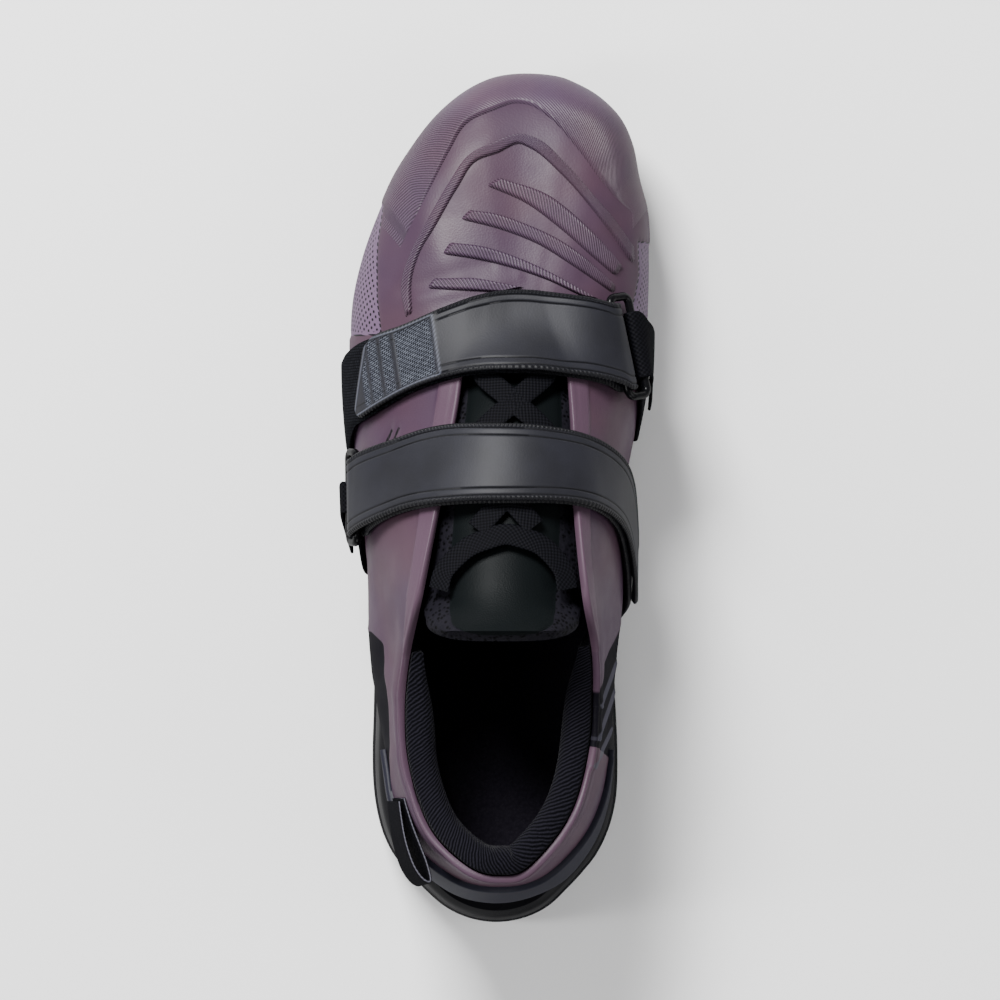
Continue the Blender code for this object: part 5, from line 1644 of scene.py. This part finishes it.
ANCHOR_FOREFOOT = (
    (145, 0.7225, 0.6245),
    (165, 0.7200, 0.6220),
    (182, 0.700, 0.580),
    (200, 0.680, 0.560),
    (222, 0.664, 0.560),
)
ANCHOR_ANKLE = (
    (-40, 0.450, 0.404),
    (-28, 0.460, 0.400),
    (-15, 0.490, 0.404),
    (8, 0.521, 0.464),
    (25, 0.524, 0.467),
)
ANCHOR_INSET = 3.0 * MM
ANCHOR_TAIL = 16
FOREFOOT_RING_SEWN, ANKLE_RING_SEWN = 208, -20
WEB_PITCH = 0.8 * MM

webbing, tree, shader = finish_of(
    "woven_nylon_tape", {"Roughness": 0.8, "Coat Weight": 0.06, "Coat Roughness": 0.6}
)
parts = parts_of(tree, "skin")
warp = calc(tree, "MULTIPLY", parts["X"], math.pi / WEB_PITCH)
weft = calc(tree, "MULTIPLY", parts["Y"], math.pi / WEB_PITCH)
warp = calc(tree, "SINE", warp)
weft = calc(tree, "SINE", weft)
basket = calc(tree, "MULTIPLY", warp, weft)
yarn = mixed(tree, ramp(tree, basket, -0.6, 0.6), colour("#050507"), colour("#0E0E12"))
yarn = mixed(tree, ramp(tree, parts["Z"], 0.3, 0.7), yarn, colour("#4E4D55"))
tree.links.new(yarn, shader.inputs["Base Color"])
raised = bump_of(tree, basket, 0.5, 0.2 * MM)
relieve(tree, shader, raised)


def ring_tape(name, table, bar, sewn, node):
    middle, run, onward, _ = bar
    spot = middle + onward * RING_REACH
    away = spot - np.array([GIRTH_AXIS.x, spot[1], GIRTH_AXIS.z])
    angle = math.degrees(math.atan2(away[2], -away[0]))
    skin_spot, square = girth(angle, spot[1], 0)
    square -= run * square.dot(run)
    square /= np.linalg.norm(square)
    back = np.cross(run, square)
    back *= -np.sign(back.dot(onward))
    height = float(np.dot(spot - skin_spot, square))
    radius = RING_WIRE / 2 + GAP + WEBBING / 2
    step = 1 if angle > sewn else -1
    rings = folded_strip(
        table,
        sewn,
        angle,
        angle - step * ANCHOR_TAIL,
        GAP,
        WEBBING,
        RING_WIRE,
        end_seat=height - radius - WEBBING / 2,
        narrow=ANCHOR_INSET,
        held=(spot, run, back),
    )
    points, field = fine_strip(rings, 0.9 * MM, 30, 1 * MM)
    return fit(surface(name, points, webbing, {"skin": field}, sharp=60), "webbing", node)


ring_tape("forefoot_ring_tape", ANCHOR_FOREFOOT, forefoot_bar, FOREFOOT_RING_SEWN, "anchor_forefoot")
ring_tape("ankle_ring_tape", ANCHOR_ANKLE, ankle_bar, ANKLE_RING_SEWN, "anchor_ankle")

# Lace
# One flat woven lace: two crossings in the throat under the straps, and a bar between the top eyelets.

LACE_WIDTH = 8.0 * MM
LACE_THICK = 1.2 * MM
LACE_GAP = 0.4 * MM
LACE_TOP = (
    # turn of the throat, share of the way across
    (0.460, 0.110),
    (0.474, 0.130),
    (0.488, 0.250),
    (0.494, 0.400),
    (0.496, 0.500),
    (0.494, 0.600),
    (0.488, 0.750),
    (0.474, 0.870),
    (0.460, 0.890),
)
LACE_CROSSING = (
    (0.500, 0.30),
    (0.524, 0.52),
    (0.546, 0.76),
    (0.556, 0.80),
    (0.568, 0.76),
    (0.592, 0.50),
    (0.616, 0.24),
    (0.628, 0.20),
)


def lace_rings(points, count):
    """Flat sections along a path on the arch over the throat."""
    path = smooth(np.linspace(0, 1, len(points)), points, np.linspace(0, 1, count))
    spots = [throat_point(turn, share) for turn, share in path]
    angles = np.radians(np.arange(0, 360, 15))
    flat = np.stack([np.sign(np.cos(angles)) * np.abs(np.cos(angles)) ** 0.35, np.sin(angles)], -1)
    rings = []
    for i, (spot, (turn, share)) in enumerate(zip(spots, path)):
        run = spots[min(i + 1, count - 1)] - spots[max(i - 1, 0)]
        over = throat_point(turn, share + 5e-3) - throat_point(turn, share - 5e-3)
        up = np.cross(over, throat_point(turn - 5e-3, share) - throat_point(turn + 5e-3, share))
        up *= np.sign(up[2]) / np.linalg.norm(up)
        side = np.cross(up, run)
        side /= np.linalg.norm(side)
        centre = spot - up * (LACE_THICK / 2 + LACE_GAP)
        rings.append(centre + flat[:, :1] * side * LACE_WIDTH / 2 + flat[:, 1:] * up * LACE_THICK / 2)
    return np.array(rings)


LACES = (
    ("lace_top", LACE_TOP, 90),
    ("lace_crossing_outer", LACE_CROSSING, 120),
    ("lace_crossing_inner", [(turn, 1 - share) for turn, share in LACE_CROSSING], 120),
)
for name, path, count in LACES:
    rings = lace_rings(path, count)
    piece = surface(name, rings, webbing, {"skin": grid_runs(rings)})
    fit(piece, "webbing", *(["lace"] if name == "lace_top" else []))

# Pull loop
# A ribbon of woven tape, doubled and sewn to the back of the heel on the outer side.

LOOP_WIDTH = 17 * MM
LOOP_THICK = 1.2 * MM
LOOP_FLARE = 10 * MM
LOOP_DROP = 0.25
LOOP_PATH = (
    # turn, rise of the top edge on the upper, distance out from the upper as a share of LOOP_FLARE
    (0.228, 0.84, 0.06),
    (0.200, 0.85, 0.12),
    (0.172, 0.86, 0.24),
    (0.148, 0.86, 0.45),
    (0.130, 0.86, 0.72),
    (0.122, 0.85, 0.92),
    (0.130, 0.84, 1.00),
    (0.148, 0.83, 0.90),
    (0.172, 0.83, 0.66),
    (0.200, 0.83, 0.42),
    (0.226, 0.83, 0.25),
)


def loop_rings(count, lanes):
    path = smooth(np.linspace(0, 1, len(LOOP_PATH)), LOOP_PATH, np.linspace(0, 1, count))
    turn, rise, out = path[:, 0], path[:, 1], path[:, 2] * LOOP_FLARE
    top = upper_skin(turn, rise, out)
    foot = upper_skin(turn, rise - LOOP_DROP, out)
    foot = top + (foot - top) * LOOP_WIDTH / np.linalg.norm(foot - top, axis=1)[:, None]
    run = np.gradient(top, axis=0)
    side = np.cross(run, foot - top)
    side *= LOOP_THICK / 2 / np.linalg.norm(side, axis=1)[:, None]
    t = np.linspace(0, 1, lanes)
    soft = np.sqrt(np.clip(1 - (2 * t - 1) ** 16, 0, 1))[None, :, None]
    line = top[:, None] + (foot - top)[:, None] * t[None, :, None]
    return np.concatenate([line + side[:, None] * soft, (line - side[:, None] * soft)[:, ::-1][:, 1:-1]], 1)


loop = loop_rings(120, 24)
loop_run = grid_runs(loop)
loop_run[:, [0, -1], 2] = 1.0
fit(surface("heel_pull_loop", loop, webbing, {"skin": loop_run}, sharp=60), "webbing", "pull_loop")
